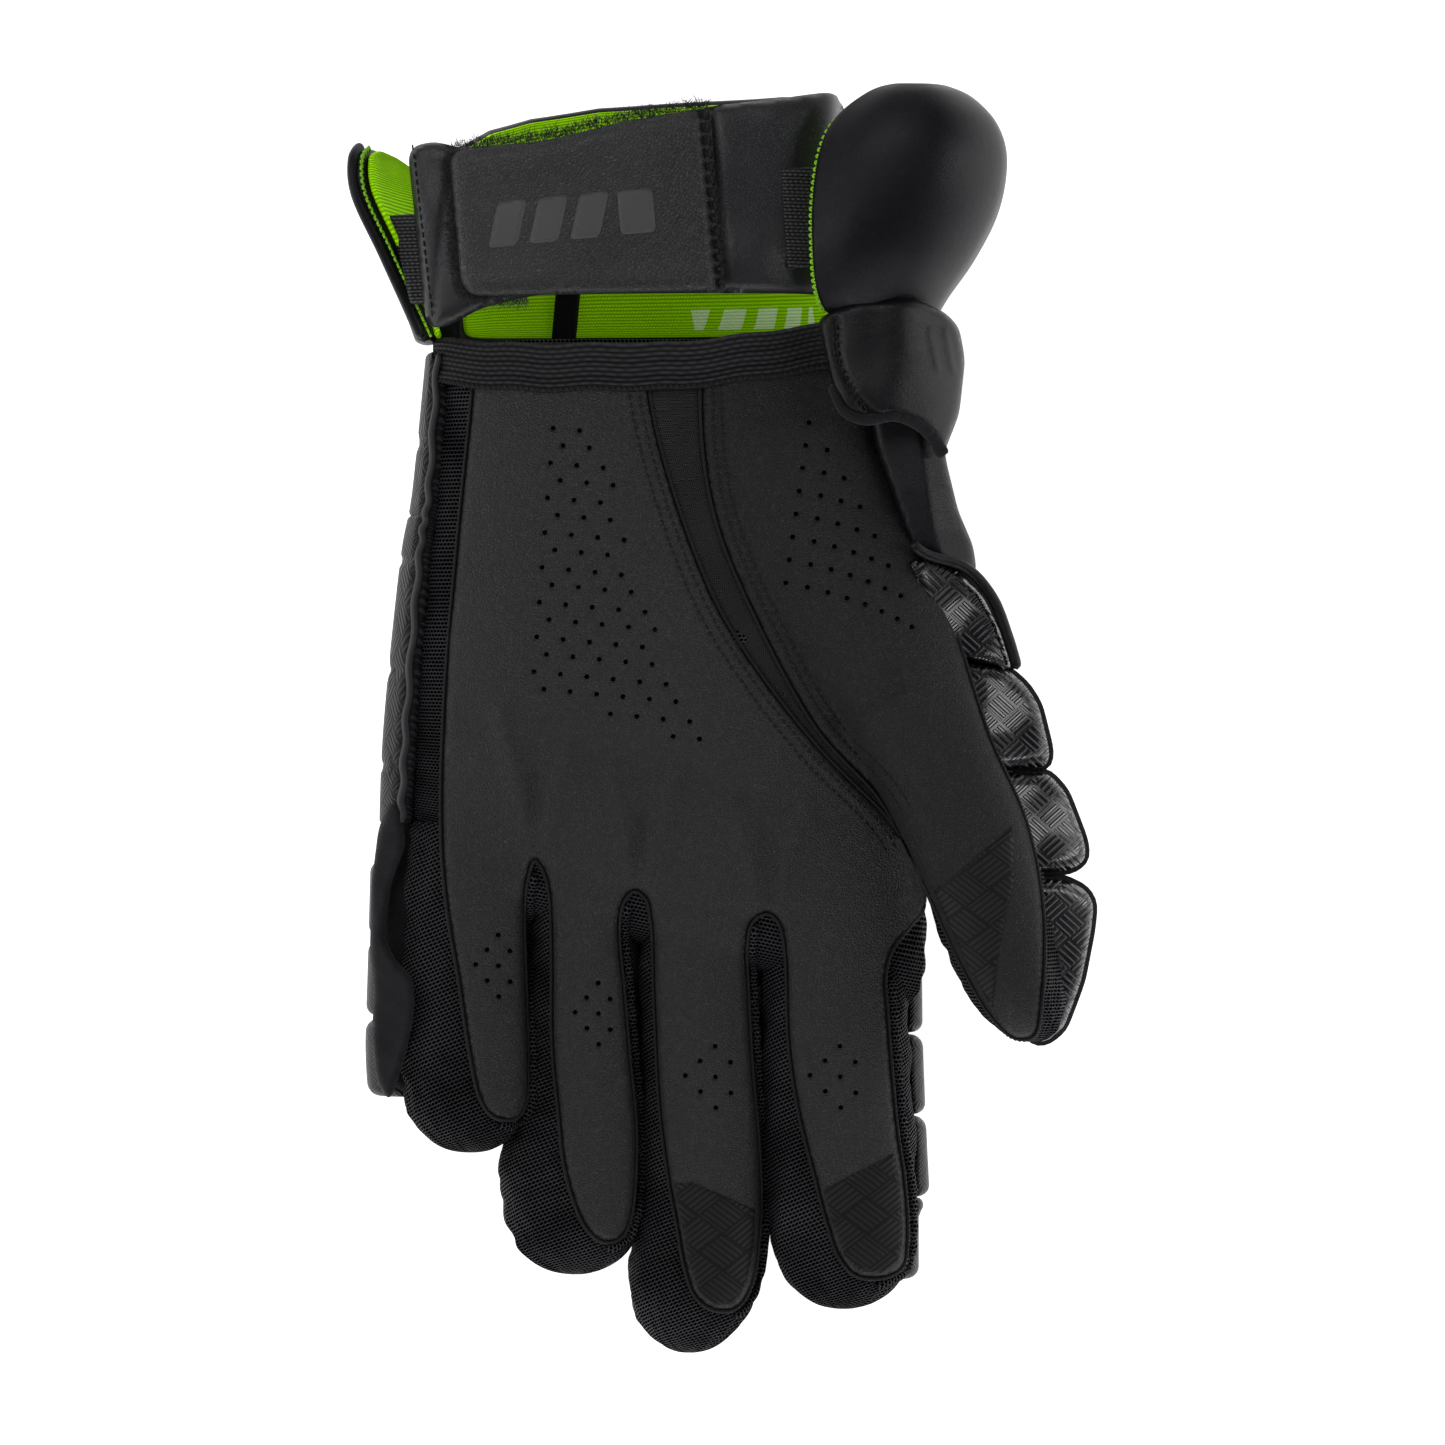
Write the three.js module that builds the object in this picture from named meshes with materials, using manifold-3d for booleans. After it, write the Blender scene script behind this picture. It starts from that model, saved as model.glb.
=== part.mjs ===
// A left-hand lacrosse glove lying on its padded back with the palm up.
// Millimetres. +X runs to the thumb side, +Y to the wrist, +Z out of the palm.
// The origin is on the surface that the glove lies on, under the middle of its outline.
import * as THREE from "three";
import { mergeVertices } from "three/addons/utils/BufferGeometryUtils.js";
import Module from "manifold-3d";

const wasm = await Module();
wasm.setup();

// Driving dimensions
const FABRIC = 2; // wall of the hand bag and the finger sleeves, mesh and lining together
const LEATHER = 1.6; // palm leather
const GUSSET = 0.9; // stretch cloth in the slot of the palm
const LINING = 1.4; // green cloth inside the cuff and the guards
const WEBBING = 1.3; // elastic
const STRAP = 4; // foam strap over the wrist
const TAB = 3.2; // the strap's tab
const CUFF_FOAM = 5;
const GUARD = 5; // the guards beside the wrist
const COLLAR = 4.4; // the collar round the thumb's plate
const PLATE = 10; // the foam plate over the heel of the thumb
const ROLL = 6; // the roll down the little finger's side
const FLAP = 3.4; // the suede flap below the roll
const FINGER_PAD = 13.5; // foam under a finger, from its sleeve down
const THUMB_PAD = 12.5; // foam beside the thumb
const GAP = 0.3; // clearance between pieces that touch

const ROUNDNESS = 2.4; // exponent of the superellipse that every sleeve's section follows
const PAD_ROUNDNESS = 3.6; // the same for a foam pad, which is nearer to a box
const SLEEVE_SIDES = 12;
const HAND_SIDES = 16;
const HAND_STEPS = 6;
const CAP_ANGLES = [32, 66]; // degrees round a fingertip at which its rings are set
const PASSAGE_SIDES = 8; // sides of the ways from the hand into the fingers
const PASSAGE_END = -66; // y beyond all the knuckles, where those ways end
const BAG_SEAM = 29; // z of the seam between the palm's side of the hand bag and its back
const PALM_LEVEL = 30; // z above which leather lies on the palm and the fingers
const THUMB_LEVEL = 39; // z above which leather lies on the thumb
const CEILING = 90; // z above the whole glove
const FAR = 400; // beyond the whole glove

// Tables

// Turns rows of numbers into objects with named columns.
function table(columns, rows) {
  const names = columns.split(" ");
  return rows.map((row) => Object.fromEntries(names.map((name, i) => [name, row[i]])));
}

// Smooth value of every column, t running from 0 at the first row to 1 at the last.
function rowAt(rows, t) {
  const at = Math.min(Math.max(t, 0), 1) * (rows.length - 1);
  const k = Math.min(Math.floor(at), rows.length - 2);
  const f = at - k;
  const [a, b, c, d] = [k - 1, k, k + 1, k + 2].map((i) => rows[Math.min(Math.max(i, 0), rows.length - 1)]);
  const blend = (p, q, r, s) =>
    0.5 * (2 * q + (r - p) * f + (2 * p - 5 * q + 4 * r - s) * f * f + (3 * q - p - 3 * r + s) * f ** 3);
  return Object.fromEntries(Object.keys(b).map((key) => [key, blend(a[key], b[key], c[key], d[key])]));
}

// The bag of the hand: its outer faces at each distance y from the middle, and how far the
// section is skewed so that it ends along the slanting line of the knuckles.
const HAND = table("y left right bottom top skew", [
  [99, -70, 27, 13, 56, 0],
  [84, -72, 35, 14, 56, 0],
  [60, -75, 44, 15, 56, 0],
  [35, -78.5, 47, 15.5, 55, 0],
  [5, -81.5, 47, 15.5, 53, -0.02],
  [-20, -82, 46, 15, 50, -0.1],
  [-38, -82.5, 46.5, 14.5, 46.5, -0.19],
  [-46, -82.5, 47.5, 14.5, 44, -0.23],
]);
const SKEW_ABOUT_X = -18;

// Each finger's sleeve: centre x and z, half width and half height of the section at y.
// tip is where the rounded end closes, cap the length of that end.
const FINGERS = {
  little: {
    rows: table("y x z w h", [
      [-26, -66.5, 29, 15.5, 13.8],
      [-45, -67, 29, 16.6, 13.8],
      [-65, -67.5, 29.5, 16.1, 13.6],
      [-85, -68, 31, 16.3, 13.4],
      [-97, -67.3, 33, 15.4, 13],
    ]),
    tip: { x: -65.8, z: 35 },
    cap: 15.5,
    pads: { count: 3, start: -36, end: -98.8, x: -72.4, halfWidth: 20.1 },
  },
  ring: {
    rows: table("y x z w h", [
      [-34, -35.9, 28.5, 13.2, 13.8],
      [-52, -36, 28, 13.5, 13.8],
      [-76, -36.3, 27.5, 14.2, 13.6],
      [-100, -37.6, 28, 16.2, 13.4],
      [-114, -39.4, 29.2, 18.3, 13.2],
      [-125, -39.2, 30.5, 18, 13],
    ]),
    tip: { x: -38.5, z: 33.5 },
    cap: 19.5,
    pads: { count: 4, start: -43, end: -138, x: -36.6, halfWidth: 13.4 },
  },
  middle: {
    rows: table("y x z w h", [
      [-38, -6.6, 28.5, 15.6, 14],
      [-55, -6.4, 28, 15.6, 13.8],
      [-80, -5.7, 27.5, 15.6, 13.6],
      [-105, -5.3, 27.5, 15.4, 13.5],
      [-128, -6, 28.5, 15.6, 13.3],
      [-143, -7.5, 30.5, 16.6, 13],
    ]),
    tip: { x: -8.6, z: 33.5 },
    cap: 22,
    pads: { count: 4, start: -50, end: -157, x: -5.5, halfWidth: 14.8 },
  },
  index: {
    rows: table("y x z w h", [
      [-42, 28.5, 29, 18, 14],
      [-62, 29.2, 28.5, 18.8, 13.9],
      [-85, 29.6, 28, 19, 13.7],
      [-110, 30.6, 28, 19.4, 13.5],
      [-130, 31.6, 30, 19, 13],
    ]),
    tip: { x: 31.7, z: 34 },
    cap: 23.5,
    pads: { count: 4, start: -60.7, end: -147.1, x: 33.2, halfWidth: 19.9 },
  },
};

// The thumb's sleeve, from inside the heel of the thumb out to its tip.
const THUMB = {
  rows: table("y x z w h", [
    [62, 25, 33.5, 19, 14],
    [40, 35.5, 37.5, 21, 17],
    [16, 45.5, 41, 20, 18],
    [-5, 54.3, 42.5, 18, 17],
    [-25, 62.8, 43.5, 16.4, 16.5],
    [-45, 69, 44, 15.5, 16],
    [-58, 72.2, 44.5, 14, 15],
  ]),
  tip: { x: 80.3, z: 46 },
  cap: 25,
};
// The thumb's sleeve is set on the hand at this point, square to the thumb's own line.
const THUMB_JOINT = { x: 57, y: -11, angle: -68 };

// Outlines of the flat cut pieces, seen from above the palm
const MAIN_LEATHER = table("x y", [
  [-64.5, 88], [-68.5, 47.5], [-72, 6], [-73.5, -25.5], [-71.5, -54], [-68, -75], [-63, -93],
  [-56, -103.5], [-51.5, -94], [-52, -67], [-51.5, -43.5],
  [-48.5, -36.5], [-45.3, -46], [-44.5, -72], [-43, -103.5], [-39.5, -124],
  [-30.5, -136], [-23, -124], [-22.8, -98], [-24.5, -72], [-26.3, -51.5],
  [-22.5, -44.5], [-18, -54], [-16, -77.5], [-12.5, -108.5], [-8.5, -137],
  [1, -154], [8, -142.5], [8.4, -106], [8, -72], [7.5, -56.5],
  [11.5, -50], [17, -58], [18, -77.5], [21, -103.5], [25.5, -127],
  [37.5, -144.5], [46.5, -130.5], [46, -103.5], [43.5, -75], [42, -62],
  [45.2, -53], [47, -44], [46, -34], [42.5, -26],
  [25, -7], [9.5, 12.5], [-1.5, 30], [-11.5, 55], [-17.5, 76], [-19.5, 88],
]);
const THUMB_LEATHER = table("x y", [
  [-5.5, 88], [-4.5, 68], [-0.5, 49], [11.5, 21.5], [25, -2], [40.5, -19], [46.5, -29],
  [54, -46], [62, -64.5], [71, -77.5], [79, -82],
  [82, -73], [81, -49], [76.5, -26.5], [67.5, -3], [59, 25.5], [53, 42],
  [46.5, 52], [40.5, 68], [34, 80], [28, 88],
]);
const STRETCH_SLOT = table("x y", [
  [-19, 88], [-17, 76], [-11, 55], [-1, 30], [10, 12.8], [25.6, -6.6], [38.5, -20.5],
  [39.5, -19], [24.4, -1.8], [11, 21.7], [-1, 49.2], [-5, 68], [-6, 88],
]);

// Foam pads under the back of the hand, between x0 and x1 from y0 to y1
const BACK_PADS = table("x0 x1 y0 y1", [
  [-84, -44, -9, -43],
  [-42.5, -4, -9, -43],
  [-2.5, 46, -9, -43],
  [-82, -33, 33, -7.5],
  [-31.5, 33, 33, -7.5],
  [-79, -22, 78, 34.5],
  [-20.5, 33, 78, 34.5],
]);
const BACK_PAD_MIDDLE = 13; // their middle and the half height of their blocks, before the hand
const BACK_PAD_REACH = 17; // and what lies under the floor are cut from them
const KNUCKLE_SLANT_FROM = 10; // y from which their edges turn towards the line of the knuckles

// Foam pads down the thumb, from y0 to y1
const THUMB_PADS = table("y0 y1", [
  [39.5, 14],
  [12.5, -12],
  [-13.5, -39],
  [-40.5, -81],
]);
const THUMB_PAD_TAPER = -60; // y beyond which they get thinner
const THUMB_PAD_FROM = 34.5; // their inner edge, past the pads under the hand
const PAD_SEAM = 0.6; // half the seam between two pads of a finger

// Curved sheets: each row holds y, its slant and the points [x, z] of its middle line
const sheetRows = (rows) => rows.map(([y, slant, ...points]) => ({ y, slant, points }));
const THUMB_PLATE = sheetRows([
  [84, 0, [35, 54.5], [42, 54.5], [50.5, 49], [53.5, 40], [51.5, 27]],
  [66, 0, [40, 55], [48, 52.5], [54, 45.5], [56, 38], [54.5, 27]],
  [52, 0, [45.5, 54], [52, 52], [57, 44.5], [58.5, 37], [56.5, 27]],
  [40.2, 0, [51, 52.5], [56, 50.5], [60.5, 44], [62, 37], [60, 28]],
]);
const THUMB_COLLAR = sheetRows([
  [107, 0, [26.5, 61.5], [35, 65.5], [50, 61.5], [57.5, 50], [57, 34]],
  [94, -0.1, [29.5, 61.5], [38, 66], [53, 61.5], [61, 50], [60, 33]],
  [79, -0.3, [35, 61], [43, 63.5], [53, 59], [59.5, 49], [58.5, 33]],
]);
const CUFF_POINTS = 9;
const CUFF = table("y x z w h from to slant", [
  [86, -20.5, 35, 55, 26, 200, 368, 0],
  [104, -21.5, 35.5, 53, 27.5, 200, 366, 0.02],
  [128, -22, 38, 52.5, 32.5, 198, 364, 0.06],
  [159.3, -22, 41.5, 52, 38.5, 196, 363, 0.11],
]);
const CUFF_LINING = table("y x z w h from to slant", [
  [102, -21.5, 35.5, 53, 27.5, 201, 364, 0.02],
  [120, -22, 37.3, 52.6, 31, 200, 363, 0.05],
  [138, -22, 39.5, 52.3, 34.8, 199, 362, 0.08],
  [158.6, -22, 41.4, 52, 38.4, 198, 361, 0.11],
]);
const BINDING_LEVEL = 36; // z above which the binding runs
const BINDING = table("x y", [[-90, 88.4], [60, 88.4], [60, 101], [-90, 101]]);
const WRIST_STRAP = sheetRows([
  [98, 0, [30, 38], [25.5, 51], [17, 58.5], [2, 62.5], [-24, 64.5], [-52, 64.3], [-82, 59.5]],
  [132, 0, [30.4, 39.5], [27.5, 52], [20.5, 58.5], [6, 62.5], [-22, 64.5], [-52, 64.3], [-83, 60]],
  [168, 0, [30.5, 43], [29.5, 53], [23, 59], [8, 62.5], [-20, 64.5], [-50, 64.5], [-83, 60.5]],
]);
const STRAP_OUTLINE = table("x y", [
  [-81, 147.5], [-79.5, 150], [-74, 151.8], [-3, 159.6], [20, 162], [34, 163],
  [34, 110.6], [0, 110.4], [-48, 109.8], [-62, 106.5], [-71, 101.8], [-74.5, 101.2], [-76.3, 103],
]);
const STRAP_TAB = sheetRows([
  [100, 0, [4, 66.6], [-24, 68.5], [-50, 68.4], [-74, 65.6]],
  [166, 0, [4, 67.2], [-24, 68.8], [-50, 68.7], [-74, 66]],
]);
const TAB_OUTLINE = table("x y", [
  [-70, 145], [-68.5, 147.2], [-60, 149.3], [-2.9, 159.2], [0.4, 110.6], [-60, 109.2], [-65, 109.6], [-67.2, 113],
]);
const GUARD_CURVE = 0.8; // extra room that the facets of a guard and its lining need where they bend
const THUMB_GUARD = sheetRows([
  [105, 0, [29.5, 57.5], [36, 60], [45, 57.5], [51.5, 48], [53, 36]],
  [112, 0, [27.5, 62.5], [36, 66], [47, 63], [55, 52], [57, 37]],
  [122, 0, [26, 66], [36.5, 71], [51, 69], [61.5, 56], [64, 38]],
  [134, 0, [26, 67], [39, 73.5], [56, 72], [67.5, 57], [70, 36]],
  [146, 0, [27, 67], [40, 74], [58, 73], [69.5, 58], [72, 38]],
  [156, 0, [32, 66], [42, 72], [56, 71.5], [65.5, 60], [68.5, 45]],
  [163.5, 0, [42, 65.5], [46, 67.5], [51, 67], [55.5, 62.5], [57.5, 57]],
]);
const LITTLE_GUARD = sheetRows([
  [99, 0, [-76.5, 50], [-77.5, 38], [-76.5, 25]],
  [110, 0, [-81.5, 54], [-80.5, 38], [-77.5, 23]],
  [122, 0, [-87, 57], [-83.5, 38], [-78.5, 21]],
  [136, 0, [-93.5, 59], [-87.5, 38], [-79.5, 20]],
  [145, -0.25, [-94.5, 57], [-88.5, 38], [-80.5, 21]],
  [149.5, -0.4, [-92.5, 51], [-88.5, 38], [-82, 25]],
]);
const ELASTIC_LITTLE = sheetRows([
  [107.5, 0, [-74.2, 53], [-72.5, 54.7], [-70.5, 56.2], [-66, 59.2]],
  [131.5, 0, [-86, 57], [-82.5, 57.6], [-77, 58], [-66, 59.6]],
]);
const ELASTIC_THUMB = sheetRows([
  [117.5, 0, [14.5, 63], [19, 61.7], [23.5, 59.3]],
  [145, 0, [16, 63.2], [21, 62], [26, 59]],
]);
const SIDE_ROLL = sheetRows([
  [86, 0, [-74.5, 44], [-76, 35], [-75, 24]],
  [60, 0, [-76, 44], [-78, 33], [-76, 20]],
  [42, 0, [-78.5, 44], [-81, 33], [-79, 20]],
  [0, 0, [-82, 42], [-85.5, 31], [-83, 19]],
  [-21, 0, [-83, 41], [-86.5, 31], [-84, 19]],
]);
const SIDE_FLAP = sheetRows([
  [-22, 0, [-83, 40], [-87, 32], [-86, 23]],
  [-40, 0, [-84, 39.5], [-89, 32], [-88, 22]],
  [-62, 0, [-84.5, 39.5], [-89.5, 32], [-88.5, 22]],
  [-84, 0, [-84, 40], [-88, 34], [-87.5, 24]],
  [-96, 0, [-82.5, 40], [-85, 36], [-85, 28]],
]);

// Solids

const FINISH = {
  leather: { color: 0x2b2a2c, roughness: 0.72, metalness: 0 },
  mesh: { color: 0x1a191d, roughness: 0.85, metalness: 0 },
  coated: { color: 0x1d1d20, roughness: 0.42, metalness: 0 },
  embossed: { color: 0x232329, roughness: 0.32, metalness: 0 },
  suede: { color: 0x1b1a1c, roughness: 0.9, metalness: 0 },
  webbing: { color: 0x1c1c1e, roughness: 0.8, metalness: 0 },
  lining: { color: 0x79b50a, roughness: 0.75, metalness: 0 },
};
for (const key of Object.keys(FINISH)) FINISH[key] = new THREE.MeshStandardMaterial(FINISH[key]);

// Closed solid from rings of points that all have the same count.
// caps lists the triangles that close one end, as index triples into a ring.
function solidFromRings(rings, caps) {
  const count = rings[0].length;
  const points = rings.flat();
  const index = [];
  for (let i = 0; i + 1 < rings.length; i++) {
    for (let k = 0; k < count; k++) {
      const [a, b] = [i * count + k, i * count + ((k + 1) % count)];
      index.push(a, b, a + count, b, b + count, a + count);
    }
  }
  const last = (rings.length - 1) * count;
  for (const [a, b, c] of caps) {
    index.push(a, c, b);
    index.push(last + a, last + b, last + c);
  }
  return solidFromTriangles(points, index);
}

function solidFromTriangles(points, index) {
  const at = (i) => points[index[i]];
  let volume = 0;
  for (let i = 0; i < index.length; i += 3) {
    volume += at(i).dot(new THREE.Vector3().crossVectors(at(i + 1), at(i + 2)));
  }
  if (volume < 0) for (let i = 0; i < index.length; i += 3) [index[i], index[i + 1]] = [index[i + 1], index[i]];
  return new wasm.Manifold(
    new wasm.Mesh({
      numProp: 3,
      vertProperties: new Float32Array(points.flatMap((p) => [p.x, p.y, p.z])),
      triVerts: new Uint32Array(index),
    }),
  );
}

// The triangles that fill a convex ring.
function fan(count) {
  return Array.from({ length: count - 2 }, (_, k) => [0, k + 1, k + 2]);
}

// A ring of the superellipse |x/w|^n + |z/h|^n = 1 in the plane y, skewed along x.
function ovalRing({ y, x, z, w, h, skew = 0 }, sides, roundness = ROUNDNESS) {
  return Array.from({ length: sides }, (_, k) => {
    const angle = (2 * Math.PI * (k + 0.5)) / sides;
    const along = (v, size) => Math.sign(v) * size * Math.abs(v) ** (2 / roundness);
    const px = x + along(Math.cos(angle), w);
    return new THREE.Vector3(px, y + skew * (px - SKEW_ABOUT_X), z + along(Math.sin(angle), h));
  });
}

// A finger's sleeve as a solid form, every face moved out by grow; mouth lengthens its open end.
function fingerForm(finger, grow, mouth = 0) {
  const { rows, tip, cap } = finger;
  const steps = rows.length;
  const sections = [];
  for (let i = 0; i <= steps; i++) sections.push(rowAt(rows, i / steps));
  if (mouth) sections.unshift({ ...sections[0], y: sections[0].y + mouth });
  const end = sections[sections.length - 1];
  for (const degrees of CAP_ANGLES) {
    const [s, c] = [Math.sin(THREE.MathUtils.degToRad(degrees)), Math.cos(THREE.MathUtils.degToRad(degrees))];
    const [w, h] = [(end.w + grow) * c - grow, (end.h + grow) * c - grow];
    const y = end.y - (cap + grow) * s;
    sections.push({ y, x: end.x + (tip.x - end.x) * s, z: end.z + (tip.z - end.z) * s, w, h });
  }
  const rings = sections.map((s) => ovalRing({ ...s, w: s.w + grow, h: s.h + grow }, SLEEVE_SIDES));
  return solidFromRings(rings, fan(SLEEVE_SIDES));
}

// The bag of the hand as a solid form.
function handForm(grow, mouth = 0) {
  const sections = [];
  for (let i = 0; i <= HAND_STEPS; i++) {
    const { y, left, right, bottom, top, skew } = rowAt(HAND, i / HAND_STEPS);
    const [x, z] = [(left + right) / 2, (bottom + top) / 2];
    sections.push({ y, skew, x, z, w: (right - left) / 2 + grow, h: (top - bottom) / 2 + grow });
  }
  sections[0].y += mouth;
  sections[HAND_STEPS].y -= grow;
  return solidFromRings(sections.map((s) => ovalRing(s, HAND_SIDES)), fan(HAND_SIDES));
}

// A flat outline of { x, y } points raised from z0 to z1.
function prism(outline, z0, z1) {
  const shape = new THREE.Shape(outline.map(({ x, y }) => new THREE.Vector2(x, y)));
  const raised = new THREE.ExtrudeGeometry(shape, { depth: z1 - z0, bevelEnabled: false });
  raised.deleteAttribute("normal");
  raised.deleteAttribute("uv");
  const merged = mergeVertices(raised.translate(0, 0, z0));
  return new wasm.Manifold(
    new wasm.Mesh({
      numProp: 3,
      vertProperties: merged.attributes.position.array,
      triVerts: new Uint32Array(merged.index.array),
    }),
  );
}

// Everything on the far side of a line through (x, y) whose normal points along degrees.
function halfSpace(x, y, degrees, shift = 0) {
  const angle = THREE.MathUtils.degToRad(degrees);
  const [nx, ny] = [Math.cos(angle), Math.sin(angle)];
  const corner = (across, out) => ({
    x: x + nx * (out + shift) - ny * across,
    y: y + ny * (out + shift) + nx * across,
  });
  return prism([corner(-FAR, 0), corner(FAR, 0), corner(FAR, FAR), corner(-FAR, FAR)], -FAR, FAR);
}

// The largest of the pieces that a cut leaves.
function mainBody(solid) {
  const bodies = solid.decompose();
  return bodies.reduce((a, b) => (b.volume() > a.volume() ? b : a));
}

// A curved sheet of foam or cloth. Each row holds y, its slant along x, and the points
// [x, z] of its middle line; the sheet gets thinner at its edges.
function sheet(rows, thickness, { across = 7, along = 4, edge = 0.6, about = 0 } = {}) {
  const count = rows[0].points.length;
  const flat = rows.map(({ y, slant = 0, points }) => {
    const row = { y, slant };
    points.forEach(([x, z], i) => Object.assign(row, { [`x${i}`]: x, [`z${i}`]: z }));
    return row;
  });
  const stations = [0, 0.04];
  for (let i = 1; i < along; i++) stations.push(i / along);
  stations.push(0.96, 1);
  const rings = stations.map((t) => {
    const row = rowAt(flat, t);
    const knots = Array.from({ length: count }, (_, i) => new THREE.Vector3(row[`x${i}`], 0, row[`z${i}`]));
    const line = new THREE.CatmullRomCurve3(knots, false, "centripetal");
    const endTaper = t === 0 || t === 1 ? edge : 1;
    const face = (side) =>
      Array.from({ length: across + 1 }, (_, i) => {
        const sideTaper = i === 0 || i === across ? edge : 1;
        const out = (side * thickness * Math.min(endTaper, sideTaper)) / 2;
        const tangent = line.getTangent(i / across);
        const p = line.getPoint(i / across).add(new THREE.Vector3(-tangent.z * out, 0, tangent.x * out));
        return p.setY(row.y + row.slant * (p.x - about));
      });
    return [...face(1), ...face(-1).reverse()];
  });
  const caps = [];
  const last = 2 * across + 1;
  for (let i = 0; i < across; i++) caps.push([i, i + 1, last - i], [i + 1, last - i - 1, last - i]);
  return solidFromRings(rings, caps);
}

// The rows of a sheet that is longer and wider by a margin all round, for cutting what lies beside it.
function widened(rows, margin) {
  const past = ([ax, az], [bx, bz]) => {
    const k = margin / Math.hypot(ax - bx, az - bz);
    return [ax + (ax - bx) * k, az + (az - bz) * k];
  };
  return rows.map((row, i) => {
    const { points } = row;
    const inner = points.slice(1, -1);
    const neighbour = { 0: rows[1], [rows.length - 1]: rows[i - 1] }[i] ?? row;
    const ends = [past(points[0], points[1]), past(points.at(-1), points.at(-2))];
    return { ...row, y: row.y + Math.sign(row.y - neighbour.y) * margin, points: [ends[0], ...inner, ends[1]] };
  });
}

// A block of foam from y0 to y1 whose section at each place is a rounded box.
function padBlock(y0, y1, sectionAt, sides = 10) {
  const rings = [
    [0, 0.8],
    [0.12, 1],
    [0.88, 1],
    [1, 0.8],
  ].map(([t, scale]) => {
    const y = y0 + (y1 - y0) * t;
    const { x, z, w, h, skew = 0 } = sectionAt(y);
    return ovalRing({ y, x, z, w: w * scale, h: h * scale, skew }, sides, PAD_ROUNDNESS);
  });
  return solidFromRings(rings, fan(sides));
}

// The finger's section at a given y.
function sectionOf(finger, y) {
  const { rows } = finger;
  let t = 0;
  while (t < 1 && rowAt(rows, t).y > y) t += 0.01;
  const row = rowAt(rows, t);
  const beyond = Math.min(Math.max((row.y - y) / finger.cap, 0), 1);
  return {
    x: row.x + (finger.tip.x - row.x) * beyond,
    z: row.z + (finger.tip.z - row.z) * beyond,
    w: row.w * Math.sqrt(1 - 0.8 * beyond ** 2),
    h: row.h * Math.sqrt(1 - beyond ** 2),
  };
}

const glove = new THREE.Group();

// Adds a solid, without the slivers that a cut may leave beside it.
function add(name, solid, finish) {
  const made = mainBody(solid).getMesh();
  const geometry = new THREE.BufferGeometry();
  const corners = new Float32Array(made.numVert * 3);
  for (let i = 0; i < made.numVert; i++) {
    corners.set(made.vertProperties.subarray(i * made.numProp, i * made.numProp + 3), i * 3);
  }
  geometry.setAttribute("position", new THREE.BufferAttribute(corners, 3));
  geometry.setIndex(new THREE.BufferAttribute(made.triVerts.slice(), 1));
  geometry.computeVertexNormals();
  const mesh = new THREE.Mesh(geometry, finish);
  mesh.name = name;
  glove.add(mesh);
}

// Forms that several pieces share

const fingers = Object.entries(FINGERS);
const joint = (turn, shift) => halfSpace(THUMB_JOINT.x, THUMB_JOINT.y, THUMB_JOINT.angle + turn, shift);
const fingersJoined = (grow) =>
  fingers.reduce((all, [, finger]) => all.add(fingerForm(finger, grow)), fingerForm(THUMB, grow));
const wholeHand = (grow) => fingersJoined(grow).add(handForm(grow));
const clearOfHand = wholeHand(GAP);
const shifted = (outline, dx, dy) => outline.map(({ x, y }) => ({ x: x + dx, y: y + dy }));

// The hand's bag and the sleeves of the fingers and the thumb

const everywhere = table("x y", [[-FAR, -FAR], [FAR, -FAR], [FAR, FAR], [-FAR, FAR]]);

// What the hand takes up inside the bag, with the ways into the thumb and the fingers.
function handRoom() {
  const heel = fingerForm(THUMB, -FABRIC).intersect(joint(180, -2 * FABRIC));
  const room = handForm(-FABRIC, 12).add(heel);
  return fingers.reduce((all, [, { rows }]) => {
    const mouth = { ...rows[0], w: rows[0].w - FABRIC - GAP, h: rows[0].h - FABRIC - GAP };
    const passage = [mouth.y + 4, PASSAGE_END].map((y) => ovalRing({ ...mouth, y }, PASSAGE_SIDES));
    return all.add(solidFromRings(passage, fan(PASSAGE_SIDES)));
  }, room);
}
const room = handRoom();
const bag = handForm(0).subtract(room);
const thumbHeel = fingerForm(THUMB, 0).intersect(joint(180)).subtract(room).subtract(handForm(GAP));
add("bag_palm_side", bag.intersect(prism(everywhere, BAG_SEAM + GAP / 2, CEILING)), FINISH.mesh);
add("bag_back_side", bag.intersect(prism(everywhere, 0, BAG_SEAM - GAP / 2)), FINISH.mesh);
add("bag_thumb_heel", thumbHeel, FINISH.mesh);

const knuckles = HAND.at(-1);
const knuckleAngle = THREE.MathUtils.radToDeg(Math.atan2(-1, knuckles.skew));
const beyondKnuckles = halfSpace(SKEW_ABOUT_X, knuckles.y, knuckleAngle, GAP);
const sleeveWall = (finger) => fingerForm(finger, 0).subtract(fingerForm(finger, -FABRIC, 10));
fingers.forEach(([name, finger], i) => {
  const sleeve = sleeveWall(finger).intersect(beyondKnuckles);
  const free = i === 0 ? sleeve : sleeve.subtract(fingerForm(fingers[i - 1][1], GAP));
  add(`${name}_sleeve`, free, FINISH.mesh);
});
add("thumb_sleeve", sleeveWall(THUMB).intersect(joint(0, GAP)).subtract(handForm(GAP)), FINISH.mesh);

// The palm's leather in two parts, and the stretch cloth in the slot between them

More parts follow.
